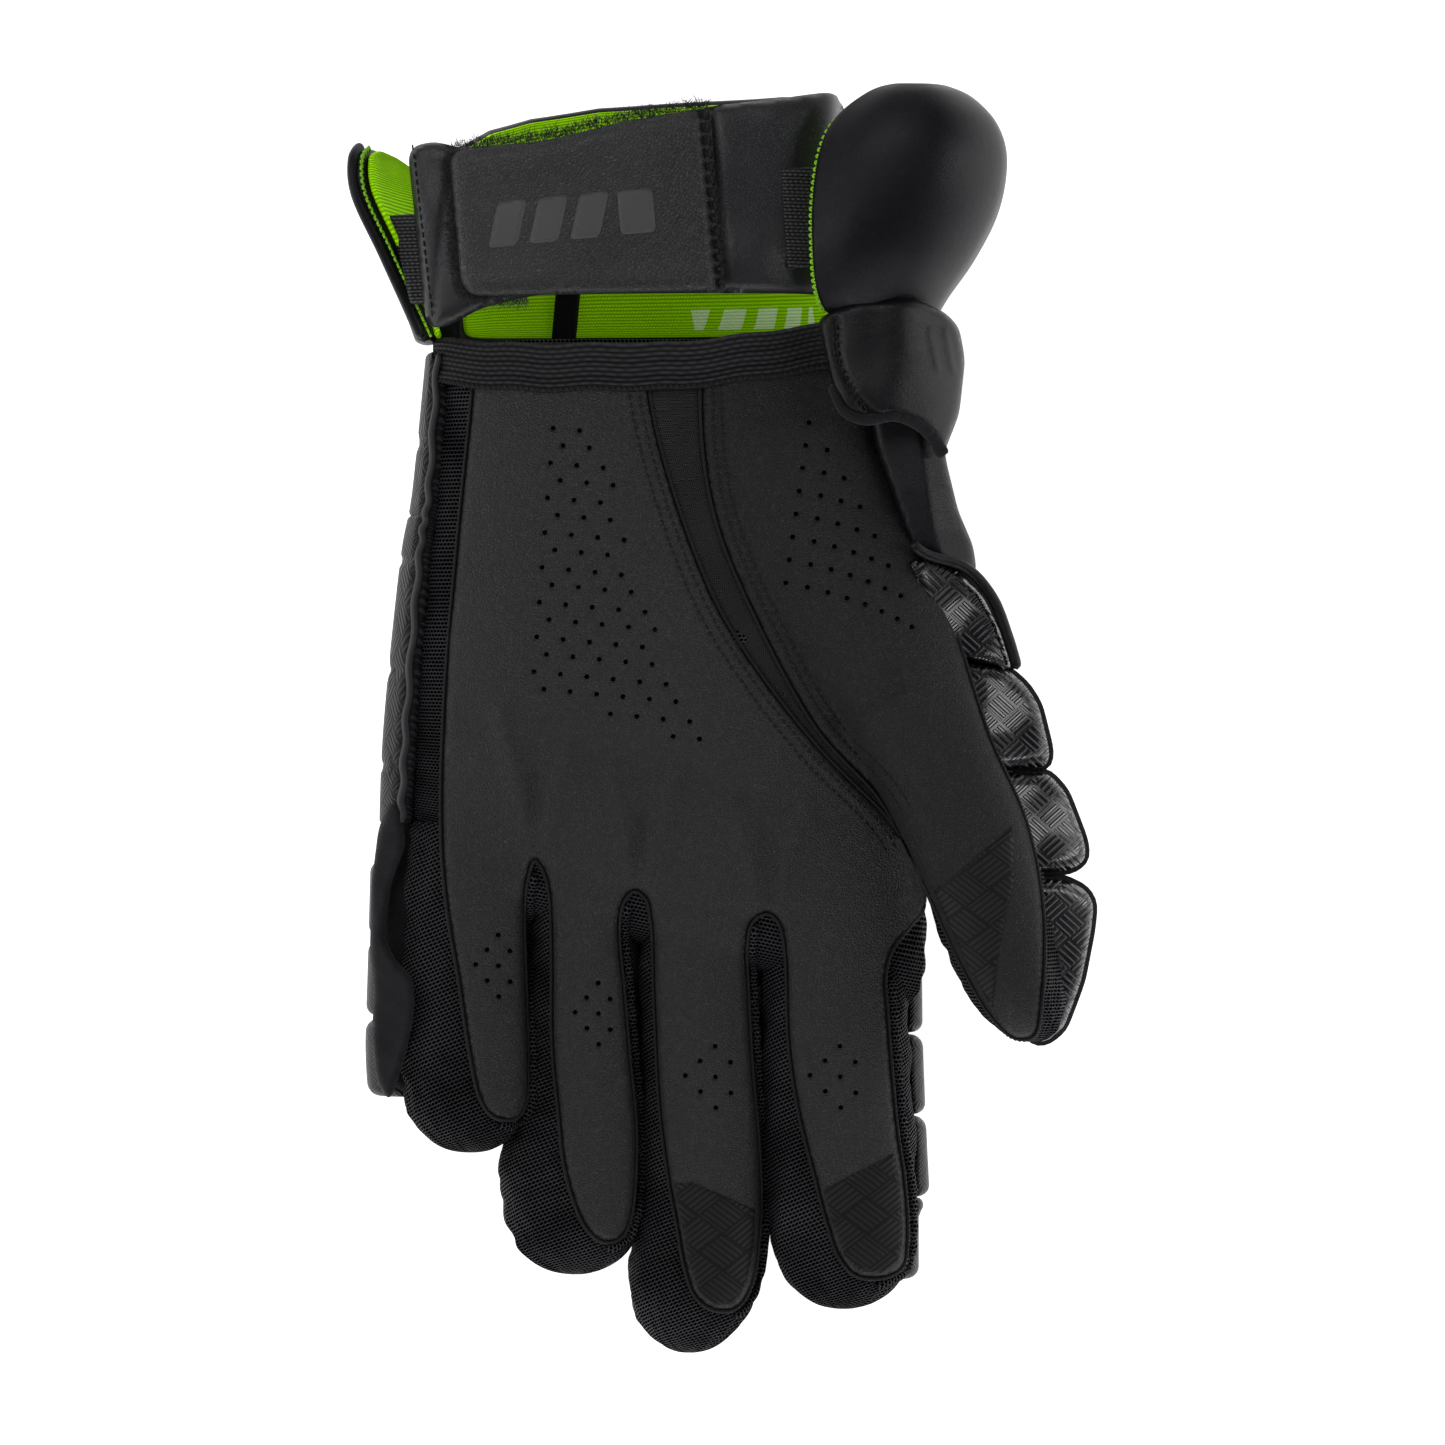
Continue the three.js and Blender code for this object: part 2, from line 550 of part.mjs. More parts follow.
const overLeather = wholeHand(GAP + LEATHER);
const skin = (outline, level) => overLeather.intersect(prism(outline, level, CEILING)).subtract(clearOfHand);
const mainLeather = mainBody(skin(MAIN_LEATHER, PALM_LEVEL));
const mainSide = [...MAIN_LEATHER, { x: MAIN_LEATHER.at(-1).x, y: FAR }, { x: -FAR, y: FAR }];
const thumbLeather = mainBody(skin(THUMB_LEATHER, THUMB_LEVEL).subtract(prism(mainSide, 0, CEILING)));
const slot = wholeHand(GAP + GUSSET).intersect(prism(STRETCH_SLOT, PALM_LEVEL, CEILING)).subtract(clearOfHand);
add("palm_leather", mainLeather, FINISH.leather);
add("thumb_leather", thumbLeather, FINISH.leather);
add("stretch_slot", slot.subtract(mainLeather).subtract(thumbLeather), FINISH.mesh);

// The roll of foam down the little finger's side of the hand, and the suede flap below it

const rollShape = { across: 3, along: 5 };
const rollClear = sheet(widened(SIDE_ROLL, GAP), ROLL + 2 * GAP, rollShape);
const flapClear = sheet(widened(SIDE_FLAP, GAP), FLAP + 2 * GAP, rollShape);
const clearOfSide = clearOfHand.add(rollClear).add(flapClear);
add("side_roll", sheet(SIDE_ROLL, ROLL, rollShape).subtract(clearOfHand), FINISH.embossed);
add("little_side_flap", sheet(SIDE_FLAP, FLAP, rollShape).subtract(clearOfHand), FINISH.suede);

// Foam pads under the fingers

function fingerPad(finger, number) {
  const { count, start, end, x, halfWidth } = finger.pads;
  const pitch = (end - start) / count;
  const middle = finger.rows[2];
  return padBlock(start + pitch * (number - 1) - PAD_SEAM, start + pitch * number + PAD_SEAM, (y) => {
    const at = sectionOf(finger, y);
    const h = (at.h + FINGER_PAD) / 2;
    return { x: at.x + x - middle.x, z: at.z - h, w: halfWidth + Math.min(at.w - middle.w, 0), h };
  });
}
for (const [name, finger] of fingers) {
  const seat = fingerForm(finger, GAP, 30).add(clearOfSide);
  for (let number = 1; number <= finger.pads.count; number++) {
    add(`${name}_pad_${number}`, fingerPad(finger, number).subtract(seat), FINISH.embossed);
  }
}

// Foam pads under the back of the hand, flat where the glove rests on them

const aboveFloor = prism(everywhere, 0, CEILING);
const slantAt = (y) => {
  const share = (KNUCKLE_SLANT_FROM - y) / (KNUCKLE_SLANT_FROM - knuckles.y);
  return knuckles.skew * Math.min(Math.max(share, 0), 1);
};
BACK_PADS.forEach(({ x0, x1, y0, y1 }, i) => {
  const size = { x: (x0 + x1) / 2, z: BACK_PAD_MIDDLE, w: (x1 - x0) / 2, h: BACK_PAD_REACH };
  const block = padBlock(y0, y1, (y) => ({ ...size, skew: slantAt(y) }), 12);
  add(`back_pad_${i + 1}`, block.intersect(aboveFloor).subtract(clearOfSide), FINISH.embossed);
});

// Foam pads down the outer side of the thumb, beside its leather

const clearOfThumb = clearOfHand.add(prism(shifted(THUMB_LEATHER, 0.5, -0.2), PALM_LEVEL, CEILING));
THUMB_PADS.forEach(({ y0, y1 }, i) => {
  const block = padBlock(y0, y1, (y) => {
    const { x, z, w, h } = sectionOf(THUMB, y);
    const taper = Math.min(Math.max((THUMB_PAD_TAPER - y) / THUMB.cap, 0), 1);
    const [left, right] = [Math.max(x - w / 3, THUMB_PAD_FROM), x + w + THUMB_PAD * (1 - taper)];
    const [low, high] = [z - h - THUMB_PAD * 0.75, z + h * 0.9];
    return { x: (left + right) / 2, z: (low + high) / 2, w: (right - left) / 2, h: (high - low) / 2 };
  });
  add(`thumb_pad_${i + 1}`, block.subtract(clearOfThumb), FINISH.embossed);
});

// The foam plate over the heel of the thumb and the collar that is wrapped over its top

const collarShape = { about: 45 };
const collarClear = sheet(widened(THUMB_COLLAR, GAP), COLLAR + 2 * GAP, collarShape);
add("thumb_plate", sheet(THUMB_PLATE, PLATE).subtract(clearOfThumb).subtract(collarClear), FINISH.coated);
add("thumb_collar", sheet(THUMB_COLLAR, COLLAR, collarShape).subtract(clearOfThumb), FINISH.coated);

// The cuff's long back, with its lining

const arcRows = (rows, { inset = 0, wider = 0 }) =>
  rows.map(({ y, x, z, w, h, from, to, slant }) => {
    const points = Array.from({ length: CUFF_POINTS }, (_, i) => {
      const turn = from - wider + ((to - from + 2 * wider) * i) / (CUFF_POINTS - 1);
      const angle = THREE.MathUtils.degToRad(turn);
      return [x + (w - inset) * Math.cos(angle), z + (h - inset) * Math.sin(angle)];
    });
    return { y, slant, points };
  });
const cuffShape = { across: 14, along: 3, about: CUFF[0].x };
const liningInset = (CUFF_FOAM + LINING) / 2 + 3 * GAP;
const cuffClear = sheet(arcRows(CUFF, { wider: 0.5 }), CUFF_FOAM + 2 * GAP, cuffShape);
add("cuff_back", sheet(arcRows(CUFF, {}), CUFF_FOAM, cuffShape).subtract(handForm(GAP, 2)), FINISH.coated);
add("cuff_lining", sheet(arcRows(CUFF_LINING, { inset: liningInset }), LINING, cuffShape), FINISH.lining);

// Knit binding round the palm's edge at the wrist

const bindingBand = handForm(GAP + LEATHER + 0.6, 6).subtract(handForm(GAP, 20));
const binding = bindingBand.intersect(prism(BINDING, BINDING_LEVEL, CEILING)).subtract(cuffClear);
add("wrist_binding", binding, FINISH.webbing);

// The wrist strap over the palm side, its tab, and the elastics that hold it

const strap = sheet(WRIST_STRAP, STRAP, { across: 12, along: 2 }).subtract(cuffClear);
const tab = sheet(STRAP_TAB, TAB, { across: 6, along: 2 });
add("wrist_strap", strap.intersect(prism(STRAP_OUTLINE, PALM_LEVEL, CEILING)), FINISH.coated);
add("strap_tab", tab.intersect(prism(TAB_OUTLINE, PALM_LEVEL, CEILING)), FINISH.coated);
add("elastic_little_side", sheet(ELASTIC_LITTLE, WEBBING, { across: 4, along: 2 }), FINISH.webbing);
add("elastic_thumb_side", sheet(ELASTIC_THUMB, WEBBING, { across: 4, along: 2 }), FINISH.webbing);

// The two guards that stand up beside the wrist, lined on the side of the hand

// Rows that run beside a guard's own, from one share of its width to another; side is 1 where
// the lining lies under the guard, and -1 where it lies over it.
function liningRows(rows, { from, to, side }) {
  const offset = (GUARD + LINING) / 2 + 2 * GAP + GUARD_CURVE;
  return rows.map(({ y, slant, points }) => {
    const knots = points.map(([x, z]) => new THREE.Vector3(x, 0, z));
    const line = new THREE.CatmullRomCurve3(knots, false, "centripetal");
    const beside = points.map((_, i) => {
      const t = from + ((to - from) * i) / (points.length - 1);
      const [p, along] = [line.getPoint(t), line.getTangent(t)];
      return [p.x + along.z * offset * side, p.z - along.x * offset * side];
    });
    return { y: y - 1, slant, points: beside };
  });
}
const guardShape = { across: 6, along: 5, about: LITTLE_GUARD[3].points[0][0] };
const liningShape = { ...guardShape, across: 5 };
const thumbLining = sheet(liningRows(THUMB_GUARD, { from: 0.03, to: 0.6, side: 1 }), LINING, liningShape);
const littleLining = sheet(liningRows(LITTLE_GUARD, { from: 0.03, to: 0.9, side: -1 }), LINING, liningShape);
add("thumb_guard", sheet(THUMB_GUARD, GUARD, guardShape).subtract(collarClear), FINISH.coated);
add("thumb_guard_lining", thumbLining.subtract(collarClear), FINISH.lining);
add("little_guard", sheet(LITTLE_GUARD, GUARD, guardShape), FINISH.coated);
add("little_guard_lining", littleLining, FINISH.lining);

export default glove;
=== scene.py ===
"""The looks of a left-hand lacrosse glove that lies on its padded back, palm up.

The row frame: +X to the thumb side, +Y to the wrist, +Z up out of the palm. Shapes are worked out
in millimetres, in that frame, and put() turns them into metres. Angles are in radians.
"""

import math

import bmesh
import bpy
import numpy as np
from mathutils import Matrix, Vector
from mathutils.geometry import delaunay_2d_cdt


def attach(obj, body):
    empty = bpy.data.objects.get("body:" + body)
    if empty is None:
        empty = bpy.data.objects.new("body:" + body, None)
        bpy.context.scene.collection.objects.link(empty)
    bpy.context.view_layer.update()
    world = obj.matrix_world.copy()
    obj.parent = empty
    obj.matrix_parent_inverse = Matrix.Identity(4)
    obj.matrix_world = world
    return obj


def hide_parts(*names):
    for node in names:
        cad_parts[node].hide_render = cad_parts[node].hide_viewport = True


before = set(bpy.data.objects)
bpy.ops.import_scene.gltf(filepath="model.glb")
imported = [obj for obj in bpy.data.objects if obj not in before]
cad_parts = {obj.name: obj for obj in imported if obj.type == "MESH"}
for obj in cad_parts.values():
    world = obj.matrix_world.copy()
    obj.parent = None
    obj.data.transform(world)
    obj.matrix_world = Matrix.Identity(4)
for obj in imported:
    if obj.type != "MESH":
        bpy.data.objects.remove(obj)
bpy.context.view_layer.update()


# Studio
# A pale floor, a soft light high beyond the cuff, one low at each side and one beyond the fingertips, and a
# camera that looks straight down on the palm through a long lens, as the photo was taken.

VIEW_WIDTH = 0.3757  # metres of floor across the picture
VIEW_DISTANCE = 1.6
SUBJECT_HEIGHT = 0.045
SENSOR = 36.0

scene = bpy.context.scene
scene.view_settings.view_transform = "Standard"

camera = bpy.data.objects.new("camera", bpy.data.cameras.new("camera"))
camera.location = (0, 0, SUBJECT_HEIGHT + VIEW_DISTANCE)
camera.data.sensor_width = SENSOR
camera.data.lens = SENSOR * VIEW_DISTANCE / VIEW_WIDTH
scene.collection.objects.link(camera)
scene.camera = camera


def softbox(name, place, aim, width, height, power):
    """A rectangular area light at place, turned towards aim."""
    light = bpy.data.lights.new(name, "AREA")
    light.shape = "RECTANGLE"
    light.size, light.size_y = width, height
    light.energy = power
    lamp = bpy.data.objects.new(name, light)
    lamp.location = place
    lamp.rotation_euler = Vector(np.array(aim) - np.array(place)).to_track_quat("-Z", "Y").to_euler()
    scene.collection.objects.link(lamp)


softbox("key", (-0.3, 0.6, 1.1), (0, 0, 0.03), 0.7, 0.5, 5)
softbox("left_strip", (-0.9, 0.0, 0.35), (0, 0, 0.03), 0.2, 1.1, 3.5)
softbox("right_strip", (0.9, 0.1, 0.35), (0, 0, 0.03), 0.2, 1.1, 4)
softbox("low_front", (0.0, -0.9, 0.4), (0, 0, 0.03), 1.1, 0.2, 4)

world = bpy.data.worlds.new("studio")
world.use_nodes = True
scene.world = world


def adds(operation, swapped=False):
    """A method of Term that adds a math node for a term and another value, or for the two the other way
    round."""
    def method(term, other):
        first, second = (other, term) if swapped else (term, other)
        return term.graph.math(operation, first, second)
    return method


class Term:
    """An output in a node tree. Sums of terms and numbers add math nodes, so that shaders read as
    formulas."""

    def __init__(self, graph, socket):
        self.graph = graph
        self.socket = socket

    __add__, __radd__ = adds("ADD"), adds("ADD", swapped=True)
    __sub__, __rsub__ = adds("SUBTRACT"), adds("SUBTRACT", swapped=True)
    __mul__, __rmul__ = adds("MULTIPLY"), adds("MULTIPLY", swapped=True)
    __truediv__, __rtruediv__ = adds("DIVIDE"), adds("DIVIDE", swapped=True)
    __mod__, __pow__ = adds("FLOORED_MODULO"), adds("POWER")


class Graph:
    """A node tree: each call adds a node, feeds it terms or plain values, and returns its output as a
    term."""

    def __init__(self, tree):
        self.tree = tree

    def feed(self, socket, value):
        """Links a term to a socket, or sets the socket's own value. Colours are given as red, green and
        blue."""
        if isinstance(value, Term):
            self.tree.links.new(value.socket, socket)
        elif socket.type == "RGBA":
            socket.default_value = (*value, 1)
        else:
            socket.default_value = value

    def node(self, kind, inputs=None, output=0, **settings):
        made = self.tree.nodes.new("ShaderNode" + kind)
        for name, value in settings.items():
            setattr(made, name, value)
        for name, value in (inputs or {}).items():
            self.feed(made.inputs[name], value)
        return Term(self, made.outputs[output])

    def math(self, operation, *values):
        return self.node("Math", dict(enumerate(values)), operation=operation)

    def rise(self, value, low, high):
        """0 up to low, 1 from high on, and smooth between them."""
        inputs = {"Value": value, "From Min": low, "From Max": high}
        return self.node("MapRange", inputs, interpolation_type="SMOOTHSTEP")

    def from_middle(self, value):
        """How far a value is from the middle of its whole step, 0 to 0.5."""
        return self.math("ABSOLUTE", self.math("FRACT", value) - 0.5)

    def mix(self, share, first, second):
        """A colour that goes from first to second as share goes from 0 to 1."""
        return self.node("Mix", {0: share, 6: first, 7: second}, output=2, data_type="RGBA")

    def group(self, tree, inputs):
        """The first output of a node group that is fed those inputs."""
        made = self.tree.nodes.new("ShaderNodeGroup")
        made.node_tree = tree
        for name, value in inputs.items():
            self.feed(made.inputs[name], value)
        return Term(self, made.outputs[0])

    def bump(self, height, depth):
        """The normal of a surface with that height, where 1 is depth metres."""
        return self.node("Bump", {"Height": height, "Distance": depth, "Strength": 1.0})

    def noise(self, place, scale, detail):
        return self.node("TexNoise", {"Vector": place, "Scale": scale, "Detail": detail})

    def across(self, place, axis):
        return self.node("SeparateXYZ", {0: place}, output=axis)

    def cloth_place(self):
        """Millimetres along the piece's own UV map."""
        return self.node("UVMap", uv_map="mm")

    def glove_place(self):
        """Millimetres in the glove's frame."""
        at = self.node("TexCoord", output="Object")
        return self.node("VectorMath", {0: at, "Scale": 1000.0}, operation="SCALE")


def shader_group(name, inputs, output):
    """A node group with those inputs, each a name and its default, and one output. Returns the tree, its
    graph, the inputs as terms and the output's socket."""
    tree = bpy.data.node_groups.new(name, "ShaderNodeTree")
    for label, default in inputs.items():
        kind = "NodeSocketVector" if default is None else "NodeSocketFloat"
        socket = tree.interface.new_socket(label, in_out="INPUT", socket_type=kind)
        if default is not None:
            socket.default_value = default
    tree.interface.new_socket(output, in_out="OUTPUT", socket_type="NodeSocketFloat")
    graph = Graph(tree)
    sockets = tree.nodes.new("NodeGroupInput").outputs
    given = {label: Term(graph, sockets[label]) for label in inputs}
    return tree, graph, given, tree.nodes.new("NodeGroupOutput").inputs[output]


def finish(name, roughness, level, **sockets):
    """A new material: its graph and its shader, with the sockets that are the same all over set."""
    material = bpy.data.materials.new(name)
    material.use_nodes = True
    shader = material.node_tree.nodes["Principled BSDF"]
    shader.inputs["Roughness"].default_value = roughness
    shader.inputs["Specular IOR Level"].default_value = level
    for label, value in sockets.items():
        shader.inputs[label.replace("_", " ")].default_value = value
    return material, Graph(material.node_tree), shader.inputs


sky = Graph(world.node_tree)
height = sky.across(sky.node("TexCoord", output="Generated"), 2)
glow = sky.rise(height, 0.85, 0.0)
backdrop = world.node_tree.nodes["Background"].inputs["Color"]
sky.feed(backdrop, sky.mix(glow, (0.1, 0.1, 0.103), (0.62, 0.62, 0.62)))

floor_mesh = bpy.data.meshes.new("floor")
floor_mesh.from_pydata([(-2, -2, 0), (2, -2, 0), (2, 2, 0), (-2, 2, 0)], [], [(0, 1, 2, 3)])
floor = bpy.data.objects.new("floor", floor_mesh)
scene.collection.objects.link(floor)
paper, paper_graph, paper_in = finish("pale floor", 0.9, 0.1, Emission_Strength=0.85)
paper_graph.feed(paper_in["Emission Color"], (1, 1, 1))
paper_graph.feed(paper_in["Base Color"], (0.86, 0.86, 0.87))
floor_mesh.materials.append(paper)


# Mesh bag and sleeves
# The hand's bag and the five sleeves are black warp-knitted mesh, sewn into tubes: ribs a
# millimetre apart run round each finger, and every rib is a row of threads with round holes between.

MM = 0.001
ROUNDNESS = 2.4  # of a finger's section, between an ellipse and a rectangle
SKEW_ABOUT_X = -18.0
FORM_STEPS = 150  # sections down a finger or the hand, before its end

HAND_ROWS = [  # y, left, right, bottom, top, skew
    [99, -73, 31, 13, 56, 0], [84, -74.5, 38, 14, 56, 0], [60, -76.5, 45, 15, 56, 0],
    [35, -79, 48, 15.5, 55, 0], [5, -81.5, 48.5, 15.5, 53, -0.02], [-20, -82, 50, 15, 50, -0.1],
    [-38, -82.5, 53, 14.5, 46.5, -0.19], [-46, -82.5, 53.5, 14.5, 44, -0.23],
]
FINGERS = {  # rows of y, x, z, half width, half height; the tip's x, z and its reach past the last row
    "little": ([[-26, -66.5, 29, 15.5, 13.8], [-45, -67, 29, 16.6, 13.8], [-65, -67.5, 29.5, 16.1, 13.6],
                [-85, -68, 31, 16.3, 13.4], [-97, -67.3, 33, 15.4, 13]], (-65.8, 35, 15.5)),
    "ring": ([[-34, -35.9, 28.5, 13.2, 13.8], [-52, -36, 28, 13.5, 13.8], [-76, -36.3, 27.5, 14.2, 13.6],
              [-100, -37.6, 28, 16.2, 13.4], [-114, -39.4, 29.2, 18.3, 13.2], [-125, -39.2, 30.5, 18, 13]],
             (-38.5, 33.5, 19.5)),
    "middle": ([[-38, -6.6, 28.5, 15.6, 14], [-55, -6.4, 28, 15.6, 13.8], [-80, -5.7, 27.5, 15.6, 13.6],
                [-105, -5.3, 27.5, 15.4, 13.5], [-128, -6, 28.5, 15.6, 13.3], [-143, -7.5, 30.5, 16.6, 13]],
               (-8.6, 33.5, 22)),
    "index": ([[-42, 28.5, 29, 18, 14], [-62, 29.2, 28.5, 18.8, 13.9], [-85, 29.6, 28, 19, 13.7],
               [-110, 30.6, 28, 19.4, 13.5], [-130, 31.6, 30, 19, 13]], (31.7, 34, 23.5)),
    "thumb": ([[62, 25, 33.5, 19, 14], [40, 35.5, 37.5, 21, 17], [16, 45.5, 41, 20, 18],
               [-5, 54.3, 42.5, 18, 17], [-25, 62.8, 43.5, 16.4, 16.5], [-45, 69, 44, 15.5, 16],
               [-58, 72.2, 44.5, 14, 15]],
              (80.3, 46, 25)),
}
THUMB_NODES = ("thumb_sleeve", "bag_thumb_heel")
HAND_NODES = ("bag_palm_side", "bag_back_side")


def along_rows(rows, t):
    """A uniform Catmull-Rom curve through rows, at t from 0 to 1. A row is a vector, or a field shaped as
    t."""
    rows, t = np.asarray(rows, float), np.asarray(t, float)
    place = np.clip(t, 0, 1) * (len(rows) - 1)
    i = np.minimum(place.astype(int), len(rows) - 2)
    f = (place - i)[..., None]
    field = rows.ndim == t.ndim + 2

    def row(step):
        at = np.clip(i + step, 0, len(rows) - 1)
        return np.take_along_axis(rows, at[None, ..., None], 0)[0] if field else rows[at]

    a, b, c, d = row(-1), row(0), row(1), row(2)
    bend = (2 * a - 5 * b + 4 * c - d) * f**2 + (3 * b - a - 3 * c + d) * f**3
    return 0.5 * (2 * b + (c - a) * f + bend)


def finger_form(rows, tip):
    """Sections y, x, z, w, h down a finger: a curve through its rows, then a quarter ellipse to the tip."""
    body = along_rows(rows, np.linspace(0, 1, FORM_STEPS))
    body[:, 3] += 0.5
    turn = np.linspace(0, math.pi / 2, FORM_STEPS // 4)[1:, None]
    (y, *middle, w, h), (*tip_middle, reach) = body[-1], tip
    bow = np.array(middle) + (np.array(tip_middle) - middle) * np.sin(turn)
    cap = np.hstack([y - reach * np.sin(turn), bow, w * np.cos(turn), h * np.cos(turn)])
    return np.vstack([body, cap])


KNUCKLE_DEPTH, KNUCKLE_INSET = 13, 9


def hand_form():
    """Sections y, x, z, w, h, skew down the hand. Its knuckle end closes like a quarter ellipse in height,
    and draws in a little in width."""
    y, left, right, bottom, top, skew = along_rows(HAND_ROWS, np.linspace(0, 1, FORM_STEPS)).T
    body = np.column_stack([y, (left + right) / 2, (bottom + top) / 2, (right - left) / 2, (top - bottom) / 2,
                            skew])
    turn = np.linspace(0, math.pi / 2, 16)[1:]
    cap = np.repeat(body[-1:], len(turn), axis=0)
    cap[:, 0] -= KNUCKLE_DEPTH * np.sin(turn)
    cap[:, 3] -= KNUCKLE_INSET * (1 - np.cos(turn))
    cap[:, 4] *= np.cos(turn)
    return np.vstack([body, cap])


FORMS = {name: finger_form(*given) for name, given in FINGERS.items()}
FORMS["hand"] = hand_form()


def oval(angle, roundness=ROUNDNESS):
    """Where a superellipse of half size 1 is at an angle: each axis to the power 2 / roundness."""
    c, s = np.cos(angle), np.sin(angle)
    return np.sign(c) * np.abs(c) ** (2 / roundness), np.sign(s) * np.abs(s) ** (2 / roundness)


def creases(u, v, size, seed):
    """A soft uneven field, mostly from -1 to 1: the sum of nine slanted sine waves about size long."""
    draw = np.random.default_rng(seed)
    limits = (0, math.pi), (0.6, 1.8), (0, 6.28)
    turns, stretches, phases = (draw.uniform(low, high, 9) for low, high in limits)
    return sum(np.sin((u * math.cos(turn) + v * math.sin(turn)) * 2 * math.pi / (size * stretch) + phase)
               for turn, stretch, phase in zip(turns, stretches, phases)) / 3


def rounding(away, edge):
    """How full a form is near its edge: 0 at the edge, 1 from edge millimetres in, and a quarter circle
    between."""
    return np.sqrt(1 - (1 - np.clip(away / edge, 0, 1)) ** 2)


def bell(away, width):
    return np.exp(-((away / width) ** 2))


def measure(grid):
    """Millimetres over a grid: u across it from the middle column, v down it from the first row."""
    across = np.linalg.norm(np.diff(grid, axis=1), axis=2).cumsum(axis=1)
    down = np.linalg.norm(np.diff(grid, axis=0), axis=2).cumsum(axis=0)
    u = np.pad(across, ((0, 0), (1, 0)))
    v = np.pad(down, ((1, 0), (0, 0))).mean(axis=1, keepdims=True)
    return np.stack([u - u[:, [u.shape[1] // 2]], np.repeat(v, u.shape[1], axis=1)], 2)


def grid_quads(shape):
    """The quads of a grid of points, or of each of several grids in a row."""
    at = np.arange(math.prod(shape)).reshape(shape)
    corners = [at[..., :-1, :-1], at[..., :-1, 1:], at[..., 1:, 1:], at[..., 1:, :-1]]
    return np.stack(corners, axis=-1).reshape(-1, 4).tolist()


def patch(grid, uv=None):
    """A grid of points as points, quads and UVs."""
    uv = measure(grid) if uv is None else uv
    return grid.reshape(-1, 3), grid_quads(grid.shape[:2]), uv.reshape(-1, 2)


def put(name, *patches):
    """One mesh of patches, whose points and UVs are in millimetres. Touching points are merged and the faces
    turned outwards."""
    points, parts, uv = zip(*patches)
    starts = np.cumsum([0] + [len(some) for some in points]).tolist()
    faces = [[corner + start for corner in face] for start, part in zip(starts, parts) for face in part]
    mesh = bpy.data.meshes.new(name)
    mesh.from_pydata((np.vstack(points) * MM).tolist(), [], faces)
    corners = np.empty(len(mesh.loops), np.int32)
    mesh.loops.foreach_get("vertex_index", corners)
    places = np.vstack(uv)[corners].astype(np.float32)
    mesh.uv_layers.new(name="mm").data.foreach_set("uv", places.ravel())
    shape = bmesh.new()
    shape.from_mesh(mesh)
    bmesh.ops.remove_doubles(shape, verts=shape.verts, dist=2e-6)
    bmesh.ops.recalc_face_normals(shape, faces=shape.faces)
    shape.to_mesh(mesh)
    shape.free()
    mesh.shade_smooth()
    piece = bpy.data.objects.new(name, mesh)
    scene.collection.objects.link(piece)
    return piece


def dress(piece, material, slot, *nodes):
    """Gives a piece its material and hides the CAD nodes that it stands for; the slot is not used."""
    piece.data.materials.append(material)
    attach(piece, "root")
    if nodes:
        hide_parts(*nodes)
    return piece


def tone_group():
    """Uneven dye and wear: Shade is near 1, a little darker and paler in soft patches."""
    inputs = {"Place": None, "Size": 20.0, "Amount": 0.2}
    tree, graph, given, shade = shader_group("uneven tone", inputs, "Shade")
    noise = graph.noise(given["Place"], 1.0 / given["Size"], 3.0)
    graph.feed(shade, 1.0 + (noise - 0.5) * (given["Amount"] * 4.0))
    return tree


def weave_group():
    """Warp-knitted mesh: round holes in staggered rows, a Rib apart along V and a Stitch apart along U, and
    threads between them. Thread is 1 on a thread's crown and 0 in a hole; Open widens the holes."""
    inputs = {"Place": None, "Rib": 0.95, "Stitch": 0.95, "Open": 0.3}
    tree, graph, given, thread = shader_group("knitted mesh", inputs, "Thread")
    row = graph.across(given["Place"], 1) / given["Rib"]
    shift = graph.math("FLOOR", row) % 2.0 * 0.5
    column = graph.across(given["Place"], 0) / given["Stitch"] + shift
    away = graph.math("SQRT", graph.from_middle(row) ** 2.0 + (graph.from_middle(column) * 0.85) ** 2.0)
    graph.feed(thread, graph.rise(away, given["Open"] * 0.55, given["Open"] + 0.16))
    return tree


TONE = tone_group()
WEAVE = weave_group()


def mesh_cloth(name="knitted mesh", rib=1.05, stitch=1.1, hole=0.43, dark=(0.0002, 0.0002, 0.0003),
               light=(0.043, 0.042, 0.049), depth=0.0005):
    """Black knitted mesh: smooth threads round dark holes, more open in some places than in others, and
    painted paler low down on the fingers, a painted rim light on their sides."""
    material, graph, shader = finish(name, 0.5, 0.5)
    place = graph.glove_place()
    opened = hole - 0.12 + graph.noise(place, 0.05, 1.0) * 0.24
    cloth = {"Place": graph.cloth_place(), "Rib": rib, "Stitch": stitch, "Open": opened}
    thread = graph.group(WEAVE, cloth)
    shade = graph.group(TONE, {"Place": place, "Size": 9.0, "Amount": 0.3})
    # Painted rim light: below 36 mm the threads are painted paler, where the fingers' sides face the side
    # lamps.
    tone_and_rim_light = shade + graph.rise(graph.across(place, 2), 36.0, 22.0) * 0.3
    graph.feed(shader["Base Color"], graph.mix(thread * tone_and_rim_light, dark, light))
    graph.feed(shader["Roughness"], 0.98 - thread * 0.5)
    graph.feed(shader["Specular IOR Level"], thread * 0.3)
    graph.feed(shader["Normal"], graph.bump(thread, depth))
    return material


MESH_CLOTH = mesh_cloth()
SLOT_CLOTH = mesh_cloth("stretch cloth", 0.55, 0.6, hole=0.22, dark=(0.002, 0.002, 0.002),
                        light=(0.011, 0.0112, 0.011), depth=0.0001)


def loft(form, grow, angles):
    """Rings round a form: x and z from the superellipse, grown outwards, and y slanted by the form's skew."""
    y, x, z, w, h = (column[:, None] for column in form.T[:5])
    c, s = oval(angles[None, :])
    grown = grow * np.clip(np.minimum(w, h) / 4, 0, 1)
    px = x + (w + grown) * c
    skew = form[:, 5:6] if form.shape[1] > 5 else 0.0
    return np.stack([px, y + skew * (px - SKEW_ABOUT_X), z + (h + grown) * s], axis=2)


MESH_WALL = 1.2  # from the form to a tube's inner wall


